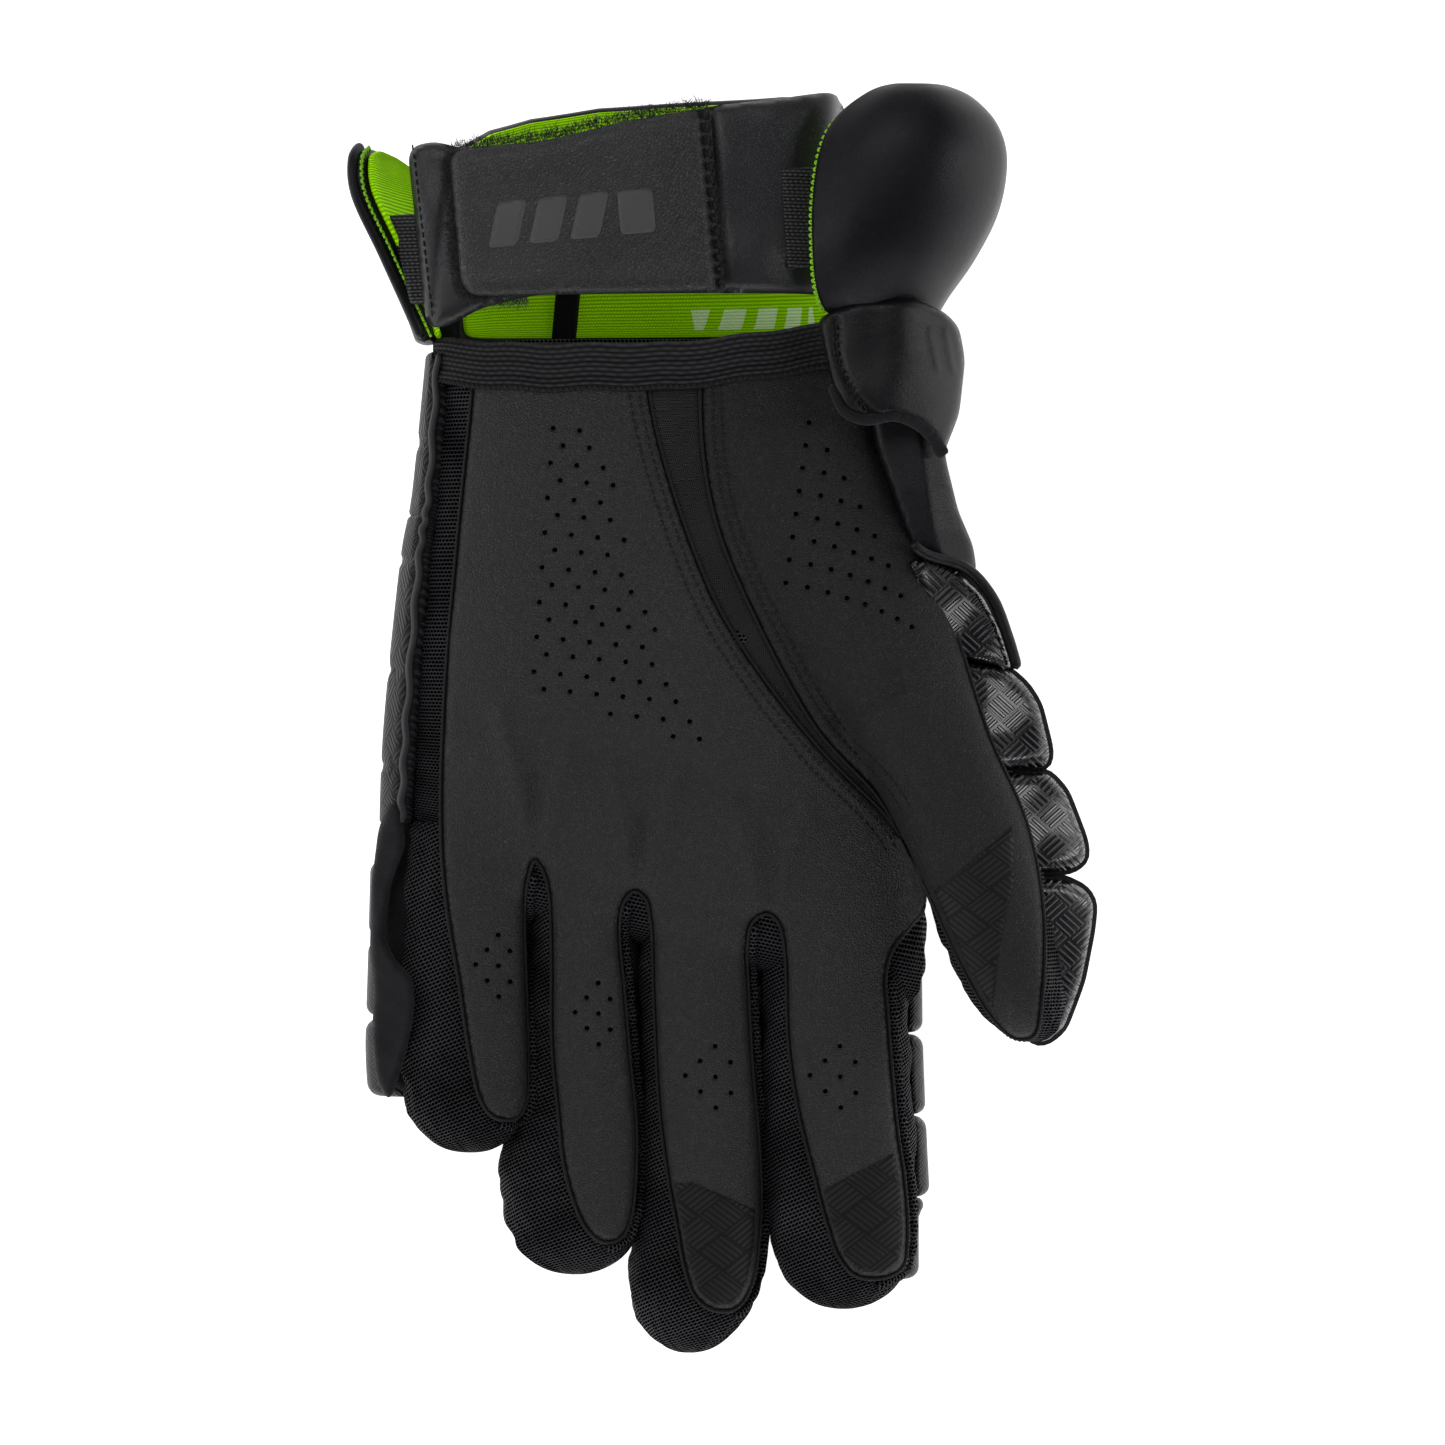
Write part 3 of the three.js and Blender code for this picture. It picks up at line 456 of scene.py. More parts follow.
def mesh_tube(name, form, sides, seed, lean=0.0):
    """A closed shell: the inner wall from its closed end up to the rim, then the outer wall down again. It
    is softly uneven, with ridges at the tip where it is gathered. Lean is how steeply the ribs climb across
    it."""
    angles = np.linspace(-math.pi / 2, 1.5 * math.pi, sides + 1)
    around, down = angles[None, :-1] * 16, form[:, :1]
    soft = creases(around, down, 11, seed) * 0.4 + creases(around, down, 4.5, seed + 50) * 0.14
    tip = np.clip((form[-1, 0] + 24 - down) / 24, 0, 1)
    soft = soft + 0.7 * tip * np.maximum(0, np.cos(around * 1.25 + seed)) ** 3
    outer = loft(form, np.hstack([soft, soft[:, :1]]), angles)
    inner = loft(form, -MESH_WALL, angles)
    uv = measure(outer)
    uv[..., 1] -= lean * uv[..., 0]
    return put(name, patch(np.vstack([inner[::-1], outer]), np.vstack([uv[::-1], uv])))


for seed, name in enumerate(("little", "ring", "middle", "index")):
    tube = mesh_tube(f"{name}_mesh", FORMS[name], 84, seed, 0.4)
    dress(tube, MESH_CLOTH, "mesh", f"{name}_sleeve")
dress(mesh_tube("thumb_mesh", FORMS["thumb"], 84, 7), MESH_CLOTH, "mesh", *THUMB_NODES)
dress(mesh_tube("hand_mesh", FORMS["hand"], 150, 9), MESH_CLOTH, "mesh", *HAND_NODES)


# Finger pads and back pads
# Blocks of foam under an embossed film, sewn in rows across the back, so that the glove bends between
# them. The glove rests on them. Their tops are seated against the fingers' and the hand's undersides.

PAD_ROUNDNESS = 3.6
FINGER_PAD = 13.5  # thickness of the foam behind a finger
SEAT_GAP = 0.4  # between a pad and the mesh over it
KNUCKLE_SLANT = -0.23  # of the back pads' rows at the knuckles, as the hand's last section has
FINGER_PADS = {  # how many, from y, to y, x of the row, half width, how much narrower the last one is
    "little": (3, -36, -98.8, -73.2, 20.6, 0), "ring": (4, -43, -138, -36.6, 13.4, 0),
    "middle": (4, -50, -157, -5.5, 14.8, 0), "index": (4, -60.7, -147.1, 33.2, 19.9, 3.2),
}
BACK_PADS = [  # left, right, top and bottom edge of each
    (-84, -44, -9, -43), (-42.5, -4, -9, -43), (-2.5, 46, -9, -43), (-82, -33, 33, -7.5),
    (-31.5, 33, 33, -7.5), (-79, -22, 78, 34.5), (-20.5, 33, 78, 34.5),
]


def section(form, y):
    """x, z, w and h of a form at y."""
    return [np.interp(-y, -form[:, 0], column) for column in form.T[1:5]]


def seat(grid, form, y):
    """Lowers the points of a pad to the underside of the form over it: z - h (1 - |dx / w|^n)^(1/n)."""
    x, z, w, h = section(form, y)
    share = np.clip(np.abs((grid[..., 0] - x) / np.maximum(w + SEAT_GAP, 1)), 0, 1)
    under = z - (h + SEAT_GAP) * (1 - share**ROUNDNESS) ** (1 / ROUNDNESS)
    grid[..., 2] = np.where(share < 1, np.minimum(grid[..., 2], under), grid[..., 2])


def stations(length, edge, step):
    """Shares from -1 to 1 of a length: close together where an edge turns down, about a step apart
    elsewhere."""
    turn = edge * (1 - np.cos(np.linspace(0, math.pi / 2, 6)))
    middle = np.linspace(edge, length - edge, max(3, round((length - 2 * edge) / step) + 1))
    return np.concatenate([turn[:-1], middle, (length - turn[:-1])[::-1]]) / length * 2 - 1


def block(start, end, section_at, edge=3.0):
    """A closed pad between two heights y: superellipse rings that shrink by a quarter circle at both ends."""
    length = abs(end - start)
    share = stations(length, edge, 1.5)
    inset = edge * (1 - rounding((1 - np.abs(share)) * length / 2, edge))
    y = (start + end) / 2 + (end - start) / 2 * share
    y, inset = np.pad(y, 1, mode="edge"), np.pad(inset, 1, mode="edge")
    full = np.ones(len(y))
    full[[0, -1]] = 0
    x, z, w, h = section_at(y)
    c, s = oval(np.linspace(-math.pi / 2, 1.5 * math.pi, 49)[None, :], PAD_ROUNDNESS)
    px = x[:, None] + ((w - inset) * full)[:, None] * c
    pz = z[:, None] + ((h - inset) * full)[:, None] * s
    return np.stack([px, np.repeat(y[:, None], px.shape[1], axis=1), pz], axis=2)


def lozenge_group():
    """A basket of lozenges. A and b count lozenges along the two slants; every second lozenge is hatched
    along a, the others along b, and a plain groove parts them. Height is 1 on a hatch line and 0 in a
    groove."""
    inputs = {"Place": None, "Wide": 9.0, "Tall": 7.0, "Hatch": 6.0, "Groove": 0.06}
    tree, graph, given, height = shader_group("hatched lozenges", inputs, "Height")
    x = graph.across(given["Place"], 0) / given["Wide"]
    y = graph.across(given["Place"], 1) / given["Tall"]
    a, b = x + y, x - y
    odd = (graph.math("FLOOR", a) + graph.math("FLOOR", b)) % 2.0
    along = a * odd + b * (1.0 - odd)
    line = graph.rise(graph.math("SINE", along * given["Hatch"] * (2 * math.pi)), -0.7, 0.7)
    inner = graph.math("MINIMUM", 0.5 - graph.from_middle(a), 0.5 - graph.from_middle(b))
    graph.feed(height, line * graph.rise(inner, given["Groove"] * 0.5, given["Groove"]))
    return tree


LOZENGES = lozenge_group()


def embossed_film(name, dark, light, roughness=0.42, level=0.35, wide=9.0, tall=7.0, hatch=6.0,
                  depth=0.00022):
    """Film pressed over foam in a hatched pattern; the raised lines are painted a little paler, a painted
    highlight along their crowns, and are smoother."""
    material, graph, shader = finish(name, roughness, level)
    height = graph.group(LOZENGES, {"Place": graph.cloth_place(), "Wide": wide, "Tall": tall, "Hatch": hatch})
    shade = graph.group(TONE, {"Place": graph.glove_place(), "Size": 14.0, "Amount": 0.25})
    # Painted highlight: the hatch lines are coloured paler than the grooves, where light catches their
    # crowns.
    graph.feed(shader["Base Color"], graph.mix(height * shade, dark, light))
    graph.feed(shader["Roughness"], roughness + 0.08 - height * 0.14)
    graph.feed(shader["Normal"], graph.bump(height, depth))
    return material


PAD_FILM = embossed_film("embossed pad film", (0.005, 0.005, 0.006), (0.014, 0.014, 0.017))

for finger, (count, start, end, middle_x, half_width, taper) in FINGER_PADS.items():
    _, usual_x, _, usual_w, _ = FINGERS[finger][0][2]
    pitch = (end - start) / count

    def pad_section(y):
        """Behind a finger: as wide as the row of pads, narrower where the finger is, under its middle
        height."""
        x, z, w, h = section(FORMS[finger][:FORM_STEPS], y)
        half = (h + FINGER_PAD) / 2
        last = np.clip(((y - start) / pitch - count + 1) / 0.2, 0, 1)
        width = half_width + np.minimum(w - usual_w, 0) - taper * last
        return x + middle_x - usual_x, z - half, width, half

    for number in range(count):
        grid = block(start + pitch * number - 0.5, start + pitch * (number + 1) + 0.5, pad_section)
        seat(grid, FORMS[finger], grid[..., 1])
        node = f"{finger}_pad_{number + 1}"
        dress(put(f"{node}_foam", patch(grid)), PAD_FILM, "embossed", node)

for number, (left, right, start, end) in enumerate(BACK_PADS, 1):
    def pad_section(y):
        """Behind the hand: a flat block from the table up to the hand's underside."""
        return [np.full(len(y), size) for size in ((left + right) / 2, 11.5, (right - left) / 2, 11.3)]

    grid = block(start, end, pad_section, edge=3.5)
    straight = grid[..., 1].copy()
    slant = KNUCKLE_SLANT * np.clip((10 - straight) / 56, 0, 1)
    grid[..., 1] += slant * (grid[..., 0] - SKEW_ABOUT_X)
    seat(grid, FORMS["hand"], straight)
    node = f"back_pad_{number}"
    dress(put(f"{node}_foam", patch(grid)), PAD_FILM, "embossed", node)


# Palm leather
# The palm is two parts of matte grained synthetic leather, cut out, perforated and sewn onto the mesh:
# the main part runs down the four fingers, and the thumb's part lies round the ball of the thumb.

LEATHER = 1.3
LEATHER_LIFT = 1.9  # its outer side over the mesh
EDGE_DROP, EDGE_WIDTH = 1.7, 1.9  # how its edges turn down to the mesh

MAIN_LEATHER = [
    (-64.5, 93), (-64.5, 88), (-68.5, 47.5), (-72, 6), (-73, -28.7), (-71.5, -48), (-68.4, -67), (-65.3, -87),
    (-62.8, -97.5), (-59.5, -102.2), (-54, -103), (-51.6, -99.5), (-51, -89.6), (-51.6, -70), (-52, -50),
    (-51, -41), (-48.9, -35.5), (-46.6, -38), (-45, -44), (-44.3, -60), (-44.2, -84), (-42.5, -102),
    (-41.2, -114), (-38.8, -123.5), (-35.2, -131.5), (-31, -135), (-26.8, -134.2), (-24.3, -129.5),
    (-23, -119), (-22.9, -105), (-24.3, -90), (-26, -70), (-27.2, -54), (-25.8, -46.3), (-22.9, -43.6),
    (-19.9, -45.5), (-18.4, -52), (-17.6, -72), (-16.2, -100), (-13.9, -118.5), (-11.6, -131), (-9.8, -141),
    (-7, -149), (-2.4, -152.6), (3.4, -152.4), (7.2, -147), (9.3, -136), (9.8, -125), (9.3, -111), (7.6, -92),
    (6.5, -72), (6.1, -58), (7.2, -52.4), (9.6, -50), (12.3, -49.6), (15, -52.4), (16.6, -61), (17.5, -84),
    (20.2, -102), (24.4, -119), (27.3, -130), (30.6, -139.2), (35, -143.8), (42.2, -144.4), (46.8, -141.8),
    (48, -133), (47.2, -119), (45.6, -108), (44, -92), (42.8, -75.5), (42.3, -66), (43.8, -59.9), (48.6, -53),
    (52, -48.5), (51.6, -42), (47.9, -33.6), (43.7, -26.2), (25, -7), (9.5, 12.5), (-1.5, 30), (-11.5, 55),
    (-17.5, 76), (-19.5, 88), (-19.5, 93),
]
THUMB_LEATHER = [
    (-5.5, 93), (-5.5, 88), (-4.5, 68), (-0.5, 49), (11.5, 21.5), (25, -2), (40.5, -19), (46.5, -29.5),
    (53.8, -45), (61.7, -62.2), (69.8, -76), (76, -81.6), (80.5, -81), (82.2, -71), (82.6, -49),
    (78.5, -26.5), (68.5, -3), (59.5, 25.5), (54, 42), (49.5, 54), (45, 68), (41, 80), (38, 88), (37, 93),
]
WRIST_CUT = 93.0  # both parts end here, under the binding
FOLDS = [  # from x, y to x, y; half width and height of a soft fold
    (-50, -28, -58, 2, 3.0, 1.1), (-47, -30, -40, -8, 2.8, 1.0), (-24, -38, -28, -14, 2.6, 1.1),
    (-20, -38, -12, -14, 2.8, 1.1), (9, -44, 3, -22, 2.6, 1.0), (14, -42, 22, -22, 2.6, 1.1),
    (12, -44, 12, -28, 2.2, -1.0), (-22, -38, -21, -24, 2.2, -1.0), (-48.5, -30, -49, -14, 2.2, -1.0),
    (-64, -2, -8, -14, 5.0, -0.7), (-4, -16, 30, -24, 4.5, -0.5), (-70, 22, -30, 30, 7.0, 0.5),
    (20, 32, 30, 4, 4.5, 0.8), (45, 12, 30, 1, 3.4, -1.0), (36, -3, 46, 4, 4.0, 1.2),
    (36, 36, 44, 14, 4.0, -0.6), (50, 14, 54, -14, 4.0, 0.6), (8, 74, 16, 46, 5.0, 0.6),
    (-36, 84, -26, 46, 6.0, 0.4), (60, -20, 68, -46, 3.6, 0.4),
]
PUNCH = 0.64  # radius of a perforation


def top_of(form, x, y, grow):
    """Height of a form's upper side: z + h (1 - |dx / w|^n)^(1/n), and falling off steeply outside it."""
    cx, z, w, h = section(form, y)
    share = np.abs((x - cx) / (w + grow))
    dome = np.clip(1 - share**ROUNDNESS, 0, None) ** (1 / ROUNDNESS)
    return z + (h + grow) * dome - np.clip(12 * (share - 1), 0, 40)


def hand_top(x, y, grow):
    """The hand's upper side. Its sections are slanted, so the unslanted y is found in three steps."""
    straight = y
    for _ in range(3):
        skew = np.interp(-straight, -FORMS["hand"][:, 0], FORMS["hand"][:, 5])
        straight = y - skew * (x - SKEW_ABOUT_X)
    return top_of(FORMS["hand"], x, straight, grow)


def palm_height(x, y, grow=0.0):
    """The top of the hand and fingers together: a smooth maximum, with a wider blend towards the thumb. The
    thumb's form sinks away at its upper end, beyond y 62."""
    fingers = [top_of(FORMS[name], x, y, grow) for name in ("little", "ring", "middle", "index")]
    hand = 1.2 * np.log(np.exp(np.stack(fingers + [hand_top(x, y, grow)]) / 1.2).sum(axis=0))
    thumb = top_of(FORMS["thumb"], x, y, grow) - 0.5 * np.clip(y - 62, 0, None)
    return 3.0 * np.log(np.exp(hand / 3.0) + np.exp(thumb / 3.0))


def folds(x, y):
    """The sum of the folds: each is a bell across its line, and ends softly."""
    total = np.zeros_like(x)
    for x0, y0, x1, y1, width, height in FOLDS:
        dx, dy = x1 - x0, y1 - y0
        along = np.clip(((x - x0) * dx + (y - y0) * dy) / (dx * dx + dy * dy), 0, 1)
        away = np.hypot(x - x0 - along * dx, y - y0 - along * dy)
        total += height * bell(away, width)
    return total


def distance_along(path):
    return np.concatenate([[0], np.cumsum(np.linalg.norm(np.diff(path, axis=0), axis=1))])


def at_shares(path, values, shares):
    """Values given along a path, at shares of its length."""
    distance = distance_along(path)
    return np.stack([np.interp(np.asarray(shares) * distance[-1], distance, column) for column in values.T],
                    axis=-1)


def through(points, s):
    """A centripetal Catmull-Rom curve through points, at shares s of its length."""
    points = np.asarray(points, float)
    ends = np.vstack([2 * points[0] - points[1], points, 2 * points[-1] - points[-2]])
    span = np.sqrt(np.linalg.norm(np.diff(ends, axis=0), axis=1))[:, None]
    slope = np.diff(ends, axis=0) / span
    tangent = slope[:-1] + slope[1:] - (ends[2:] - ends[:-2]) / (span[:-1] + span[1:])
    f = np.linspace(0, 1, 17)[None, :-1, None]
    a, b = points[:-1, None], points[1:, None]
    p, q = (tangent[:-1] * span[1:-1])[:, None], (tangent[1:] * span[1:-1])[:, None]
    curve = (a * (2 * f**3 - 3 * f**2 + 1) + b * (3 * f**2 - 2 * f**3)
             + p * (f**3 - 2 * f**2 + f) + q * (f**3 - f**2))
    curve = np.vstack([curve.reshape(-1, points.shape[1]), points[-1]])
    return at_shares(curve, curve, s)


def length_of(path):
    return float(np.linalg.norm(np.diff(path, axis=0), axis=1).sum())


def anticlockwise(ring):
    x, y = ring.T
    return ring if np.sum(x * np.roll(y, -1) - np.roll(x, -1) * y) > 0 else ring[::-1]


def smooth_outline(points, step=0.8):
    """A closed curve through an outline's points, anticlockwise, with points a step apart."""
    loop = np.array(points[-2:] + points + points[:2], float)
    curve = through(loop, np.linspace(0, 1, 4000))
    start, end = (np.argmin(np.linalg.norm(curve[part] - points[0], axis=1)) + part.start
                  for part in (slice(0, 2000), slice(2000, 4000)))
    ring = curve[start:end]
    return anticlockwise(through(ring[::4], np.linspace(0, 1, round(length_of(ring) / step))))


def distance_to(outline, points):
    """How far each point is from the closed outline."""
    a, b = outline, np.roll(outline, -1, axis=0)
    d = b - a
    size = np.maximum((d * d).sum(axis=1), 1e-9)
    parts = []
    for some in np.array_split(points, max(1, len(points) // 1500)):
        share = np.clip(((some[:, None] - a) * d).sum(axis=2) / size, 0, 1)
        parts.append(np.linalg.norm(some[:, None] - a - share[..., None] * d, axis=2).min(axis=1))
    return np.concatenate(parts)


def inside(outline, points):
    """Which points an outline holds: a ray to the right crosses it an odd number of times."""
    (ax, ay), (bx, by) = outline.T, np.roll(outline, -1, axis=0).T
    rise = np.where(by == ay, 1e-9, by - ay)
    x, y = points[:, :1], points[:, 1:]
    crossed = ((ay > y) != (by > y)) & (x < ax + (y - ay) / rise * (bx - ax))
    return crossed.sum(axis=1) % 2 == 1


def cut_from(outline, step, holes=()):
    """Fills an outline with triangles about a step apart, without the holes. Returns points, triangles and
    how far each point is from the outline."""
    low, high = outline.min(axis=0), outline.max(axis=0)
    x, y = np.meshgrid(np.arange(low[0], high[0], step), np.arange(low[1], high[1], step * 0.866))
    x = x + (np.arange(len(x)) % 2)[:, None] * step / 2
    inner = np.column_stack([x.ravel(), y.ravel()])
    inner = inner[inside(outline, inner)]
    inner = inner[distance_to(outline, inner) > 0.5 * step]
    loops, holes = [outline], np.asarray(holes, float).reshape(-1, 2)
    if len(holes):
        away = np.linalg.norm(inner[:, None] - holes, axis=2).min(axis=1)
        inner = inner[away > PUNCH + 0.4 * step]
        turn = np.linspace(0, 2 * math.pi, 13)[:-1]
        loops += [hole + PUNCH * np.column_stack([np.cos(turn), np.sin(turn)]) for hole in holes]
    starts = np.cumsum([0] + [len(loop) for loop in loops])
    edges = [list(range(start, end)) for start, end in zip(starts[:-1].tolist(), starts[1:].tolist())]
    points = np.vstack(loops + [inner])
    places = [Vector(point) for point in points.tolist()]
    points, _, triangles, *_ = delaunay_2d_cdt(places, [], edges, 1, 1e-5)
    points, triangles = np.array([tuple(point) for point in points]), np.array(triangles)
    if len(holes):
        middle = points[triangles].mean(axis=1)
        triangles = triangles[np.linalg.norm(middle[:, None] - holes, axis=2).min(axis=1) > PUNCH * 0.985]
    return points, triangles, distance_to(outline, points)


def slab(points, triangles, top, bottom, uv=None):
    """A closed slab between two heights, with a wall along every open edge."""
    edges = np.vstack([triangles[:, [0, 1]], triangles[:, [1, 2]], triangles[:, [2, 0]]])
    _, where, count = np.unique(np.sort(edges, axis=1), axis=0, return_index=True, return_counts=True)
    (a, b), n = edges[where[count == 1]].T, len(points)
    walls = np.column_stack([b, a, a + n, b + n])
    faces = triangles.tolist() + (triangles[:, ::-1] + n).tolist() + walls.tolist()
    uv = points if uv is None else uv
    both = np.vstack([np.column_stack([points, level]) for level in (top, bottom)])
    return both, faces, np.vstack([uv, uv])


def cut_area(points, triangles, top):
    """The area of a cut piece's outer side, in square metres."""
    a, b, c = (np.column_stack([points, top])[triangles[:, corner]] for corner in range(3))
    return float(np.linalg.norm(np.cross(b - a, c - a), axis=1).sum()) / 2 * MM * MM


def palm_perforations():
    """Three kinds of clusters: staggered rows beside the little finger's side, a fan on the ball of the
    thumb, and a lozenge of eight on each finger."""
    rows = [(0, 2), (0, 2), (0, 3), (0, 3), (0, 3), (0, 3), (0, 4), (0, 3), (0, 4), (0, 4), (0, 5), (0, 5),
            (0, 5), (0, 5), (0, 6), (0, 6), (3, 4), (5, 2)]  # first column and how many
    palm = [(-43.7 + 2.9 * (row % 2) - 0.36 * row + 6.83 * column, 76 - 4.49 * row - 0.65 * column)
            for row, (first, count) in enumerate(rows) for column in range(first, first + count)]
    fan = [(22.4 - 0.86 * row + 5.72 * column - 0.156 * column**2,
            77.6 - 5.93 * row - 1.09 * column - 0.078 * column**2)
           for row in range(8) for column in range(row + 1)]
    lozenges = [(-58.3, -63.3, 2.9), (-32.3, -75.8, 3.0), (-1.8, -92.3, 3.9), (30.7, -92.2, 3.9)]
    tips = [(x - wide * i + 4.0 * j * wide / 3.9, y - 3.8 * i - 4.2 * j) for x, y, wide in lozenges
            for i in (-1, 0, 1) for j in (-1, 0, 1) if (i, j) != (-1, 1)]
    return np.array(palm + tips), np.array(fan)


def grain_group():
    """Leather grain: small rounded cells parted by fine creases, over broader soft unevenness."""
    tree, graph, given, height = shader_group("leather grain", {"Place": None, "Size": 0.8}, "Height")
    scale = 1.0 / given["Size"]
    creased = {"Vector": given["Place"], "Scale": scale}
    cells = graph.rise(graph.node("TexVoronoi", creased, feature="DISTANCE_TO_EDGE"), 0.0, 0.28)
    graph.feed(height, cells + graph.noise(given["Place"], scale * 0.3, 2.0) * 0.8)
    return tree


GRAIN = grain_group()


def leather(name, dark, light, roughness=0.52, level=0.3, size=0.75, depth=0.0002):
    """Grained synthetic leather, darker in its creases."""
    material, graph, shader = finish(name, roughness, level)
    place = graph.glove_place()
    height = graph.group(GRAIN, {"Place": place, "Size": size})
    shade = graph.group(TONE, {"Place": place, "Size": 26.0, "Amount": 0.16})
    graph.feed(shader["Base Color"], graph.mix(height * 0.6 * shade, dark, light))
    graph.feed(shader["Normal"], graph.bump(height, depth))
    return material


def twisted_thread(name, roughness, level, dark, light):
    """Thread with the darker and paler turns of its twist along it."""
    material, graph, shader = finish(name, roughness, level)
    turns = graph.math("SINE", graph.across(graph.cloth_place(), 1) * 14.0)
    graph.feed(shader["Base Color"], graph.mix(turns, dark, light))
    return material


PALM_LEATHER = leather("palm leather", (0.0115, 0.011, 0.0118), (0.0195, 0.0188, 0.0198))
# The thumb's part is the palm's leather painted darker: painted shade over the ball of the thumb.
SHADED_THUMB_LEATHER = leather("thumb leather painted darker", (0.0085, 0.0082, 0.009), (0.0145, 0.014, 0.015), level=0.22)
THREAD = twisted_thread("black sewing thread", 0.6, 0.25, (0.002, 0.002, 0.0025), (0.007, 0.007, 0.008))


def stitches(path, up, pitch=1.3, length=0.95, thick=0.3, lean=0.0):
    """A row of short round-ended threads along a path, as one patch. Lean turns each out of the path, a
    zigzag if it is given, because every second one leans the other way."""
    count = max(2, round(length_of(path) / pitch))
    share = (np.arange(count) + 0.5) / count
    place, lift = at_shares(path, path, share), at_shares(path, up, share)
    heading = np.gradient(place, axis=0)
    heading /= np.linalg.norm(heading, axis=1, keepdims=True)
    side = np.cross(heading, lift)
    side /= np.maximum(np.linalg.norm(side, axis=1, keepdims=True), 1e-9)
    swing = lean * np.where(np.arange(count) % 2, 1, -1)[:, None]
    cos, sin = np.cos(swing), np.sin(swing)
    heading, side = heading * cos + side * sin, side * cos - heading * sin
    lift = np.cross(side, heading)
    along = np.array([-0.5, -0.3, 0.3, 0.5]) * length
    radius = np.array([0, 1, 1, 0])[:, None] * thick
    turn = np.linspace(0, 2 * math.pi, 6)
    place, heading, side, lift = (part[:, None, None] for part in (place, heading, side, lift))
    grid = (place + along[:, None, None] * heading + (radius * np.cos(turn))[..., None] * side
            + (radius * np.sin(turn))[..., None] * lift)
    from_start = along[None, :, None] + share[:, None, None] * 100
    uv = np.stack(np.broadcast_arrays(turn[None, None], from_start), axis=-1)
    return grid.reshape(-1, 3), grid_quads(grid.shape[:3]), uv.reshape(-1, 2)


def sweep(path, up, wide, high, sides=12, blunt=2.0):
    """A closed rod along a path: ovals wide across and high along up, which close to a point at both ends."""
    heading = np.gradient(path, axis=0)
    heading /= np.linalg.norm(heading, axis=1, keepdims=True)
    side = np.cross(heading, up)
    side /= np.linalg.norm(side, axis=1, keepdims=True)
    steps = distance_along(path)
    full = rounding(np.minimum(steps, steps[-1] - steps), blunt)[:, None, None]
    turn = np.linspace(-math.pi / 2, 1.5 * math.pi, sides + 1)
    across, lift = side[:, None], np.cross(side, heading)[:, None]
    oval_at = wide * np.cos(turn)[None, :, None] * across + high * np.sin(turn)[None, :, None] * lift
    uv = np.stack(np.broadcast_arrays((turn * (wide + high) / 2)[None], steps[:, None]), axis=-1)
    return patch(path[:, None] + full * oval_at, uv)


def over(path, height):
    """A flat path laid on a height, and the way up there."""
    x, y = path.T
    d = 0.3
    slope_x, slope_y = height(x - d, y) - height(x + d, y), height(x, y - d) - height(x, y + d)
    up = np.column_stack([slope_x, slope_y, 2 * d + 0 * x])
    return np.column_stack([path, height(x, y)]), up / np.linalg.norm(up, axis=1, keepdims=True)


def offset(path, distance, closed=False):
    """A path moved sideways, to the right of its heading."""
    heading = np.roll(path, -1, axis=0) - np.roll(path, 1, axis=0) if closed else np.gradient(path, axis=0)
    heading = heading / np.maximum(np.linalg.norm(heading, axis=1, keepdims=True), 1e-9)
    return path + distance * np.column_stack([heading[:, 1], -heading[:, 0]])


def part_of(outline, start, end):
    """The stretch of an anticlockwise outline from the point nearest start to the one nearest end."""
    first, last = (int(np.argmin(np.linalg.norm(outline - point, axis=1))) for point in (start, end))
    return outline[first:last + 1] if first <= last else np.vstack([outline[first:], outline[:last + 1]])


def leather_top(x, y):
    return palm_height(x, y, LEATHER_LIFT) + folds(x, y)


main_outline = smooth_outline(MAIN_LEATHER)
thumb_outline = smooth_outline(THUMB_LEATHER)
main_holes, fan_holes = palm_perforations()
for node, outline, holes, cloth in (("palm_leather", main_outline, main_holes, PALM_LEATHER),
                                    ("thumb_leather", thumb_outline, fan_holes, SHADED_THUMB_LEATHER)):
    cut = np.minimum(outline, [np.inf, WRIST_CUT])
    points, triangles, away = cut_from(cut, 1.1, holes)
    away = np.where(points[:, 1] > WRIST_CUT - 0.1, 5.0, away)  # the edge under the binding stays flat
    near_hole = np.linalg.norm(points[:, None] - holes, axis=2).min(axis=1)
    top = leather_top(*points.T) - EDGE_DROP * (1 - rounding(away, EDGE_WIDTH))
    top -= 0.18 * bell(near_hole - PUNCH, 0.5)  # the leather sinks a little round each perforation
    piece = dress(put(f"{node}_cut", slab(points, triangles, top, top - LEATHER)), cloth, "leather", node)
    area = cut_area(points, triangles, top)


def seam_height(x, y):
    return palm_height(x, y, 0.9)


seams = []
for outline in (main_outline, thumb_outline):
    path = offset(outline, 0.35, closed=True)
    beyond = path[:, 1] >= WRIST_CUT
    path = np.roll(path, -int(np.argmax(beyond)), axis=0)
    line, up = over(path[path[:, 1] < WRIST_CUT], seam_height)
    seams.append(stitches(line + up * 0.25, up, pitch=1.25, length=1.0, thick=0.34))
    seams.append(sweep(line, up, 0.5, 0.45, sides=8))
dress(put("leather_seams", *seams), THREAD, "leather")

rows_of_stitches = []
for path, sides in ((part_of(main_outline, (47, -32), (-19.5, 89)), (-2.3, -4.9)),
                    (part_of(thumb_outline, (-5.5, 89), (44, -25)), (-2.9, -5.2))):
    for side in sides:
        line, up = over(offset(path, side), leather_top)
        rows_of_stitches.append(stitches(line + up * 0.05, up, pitch=2.1, length=1.5, thick=0.32))
dress(put("double_stitching", *rows_of_stitches), THREAD, "leather")


# Stretch slot
# A strip of finer stretch cloth in the curved slot between the two parts of the palm, where the hand closes.

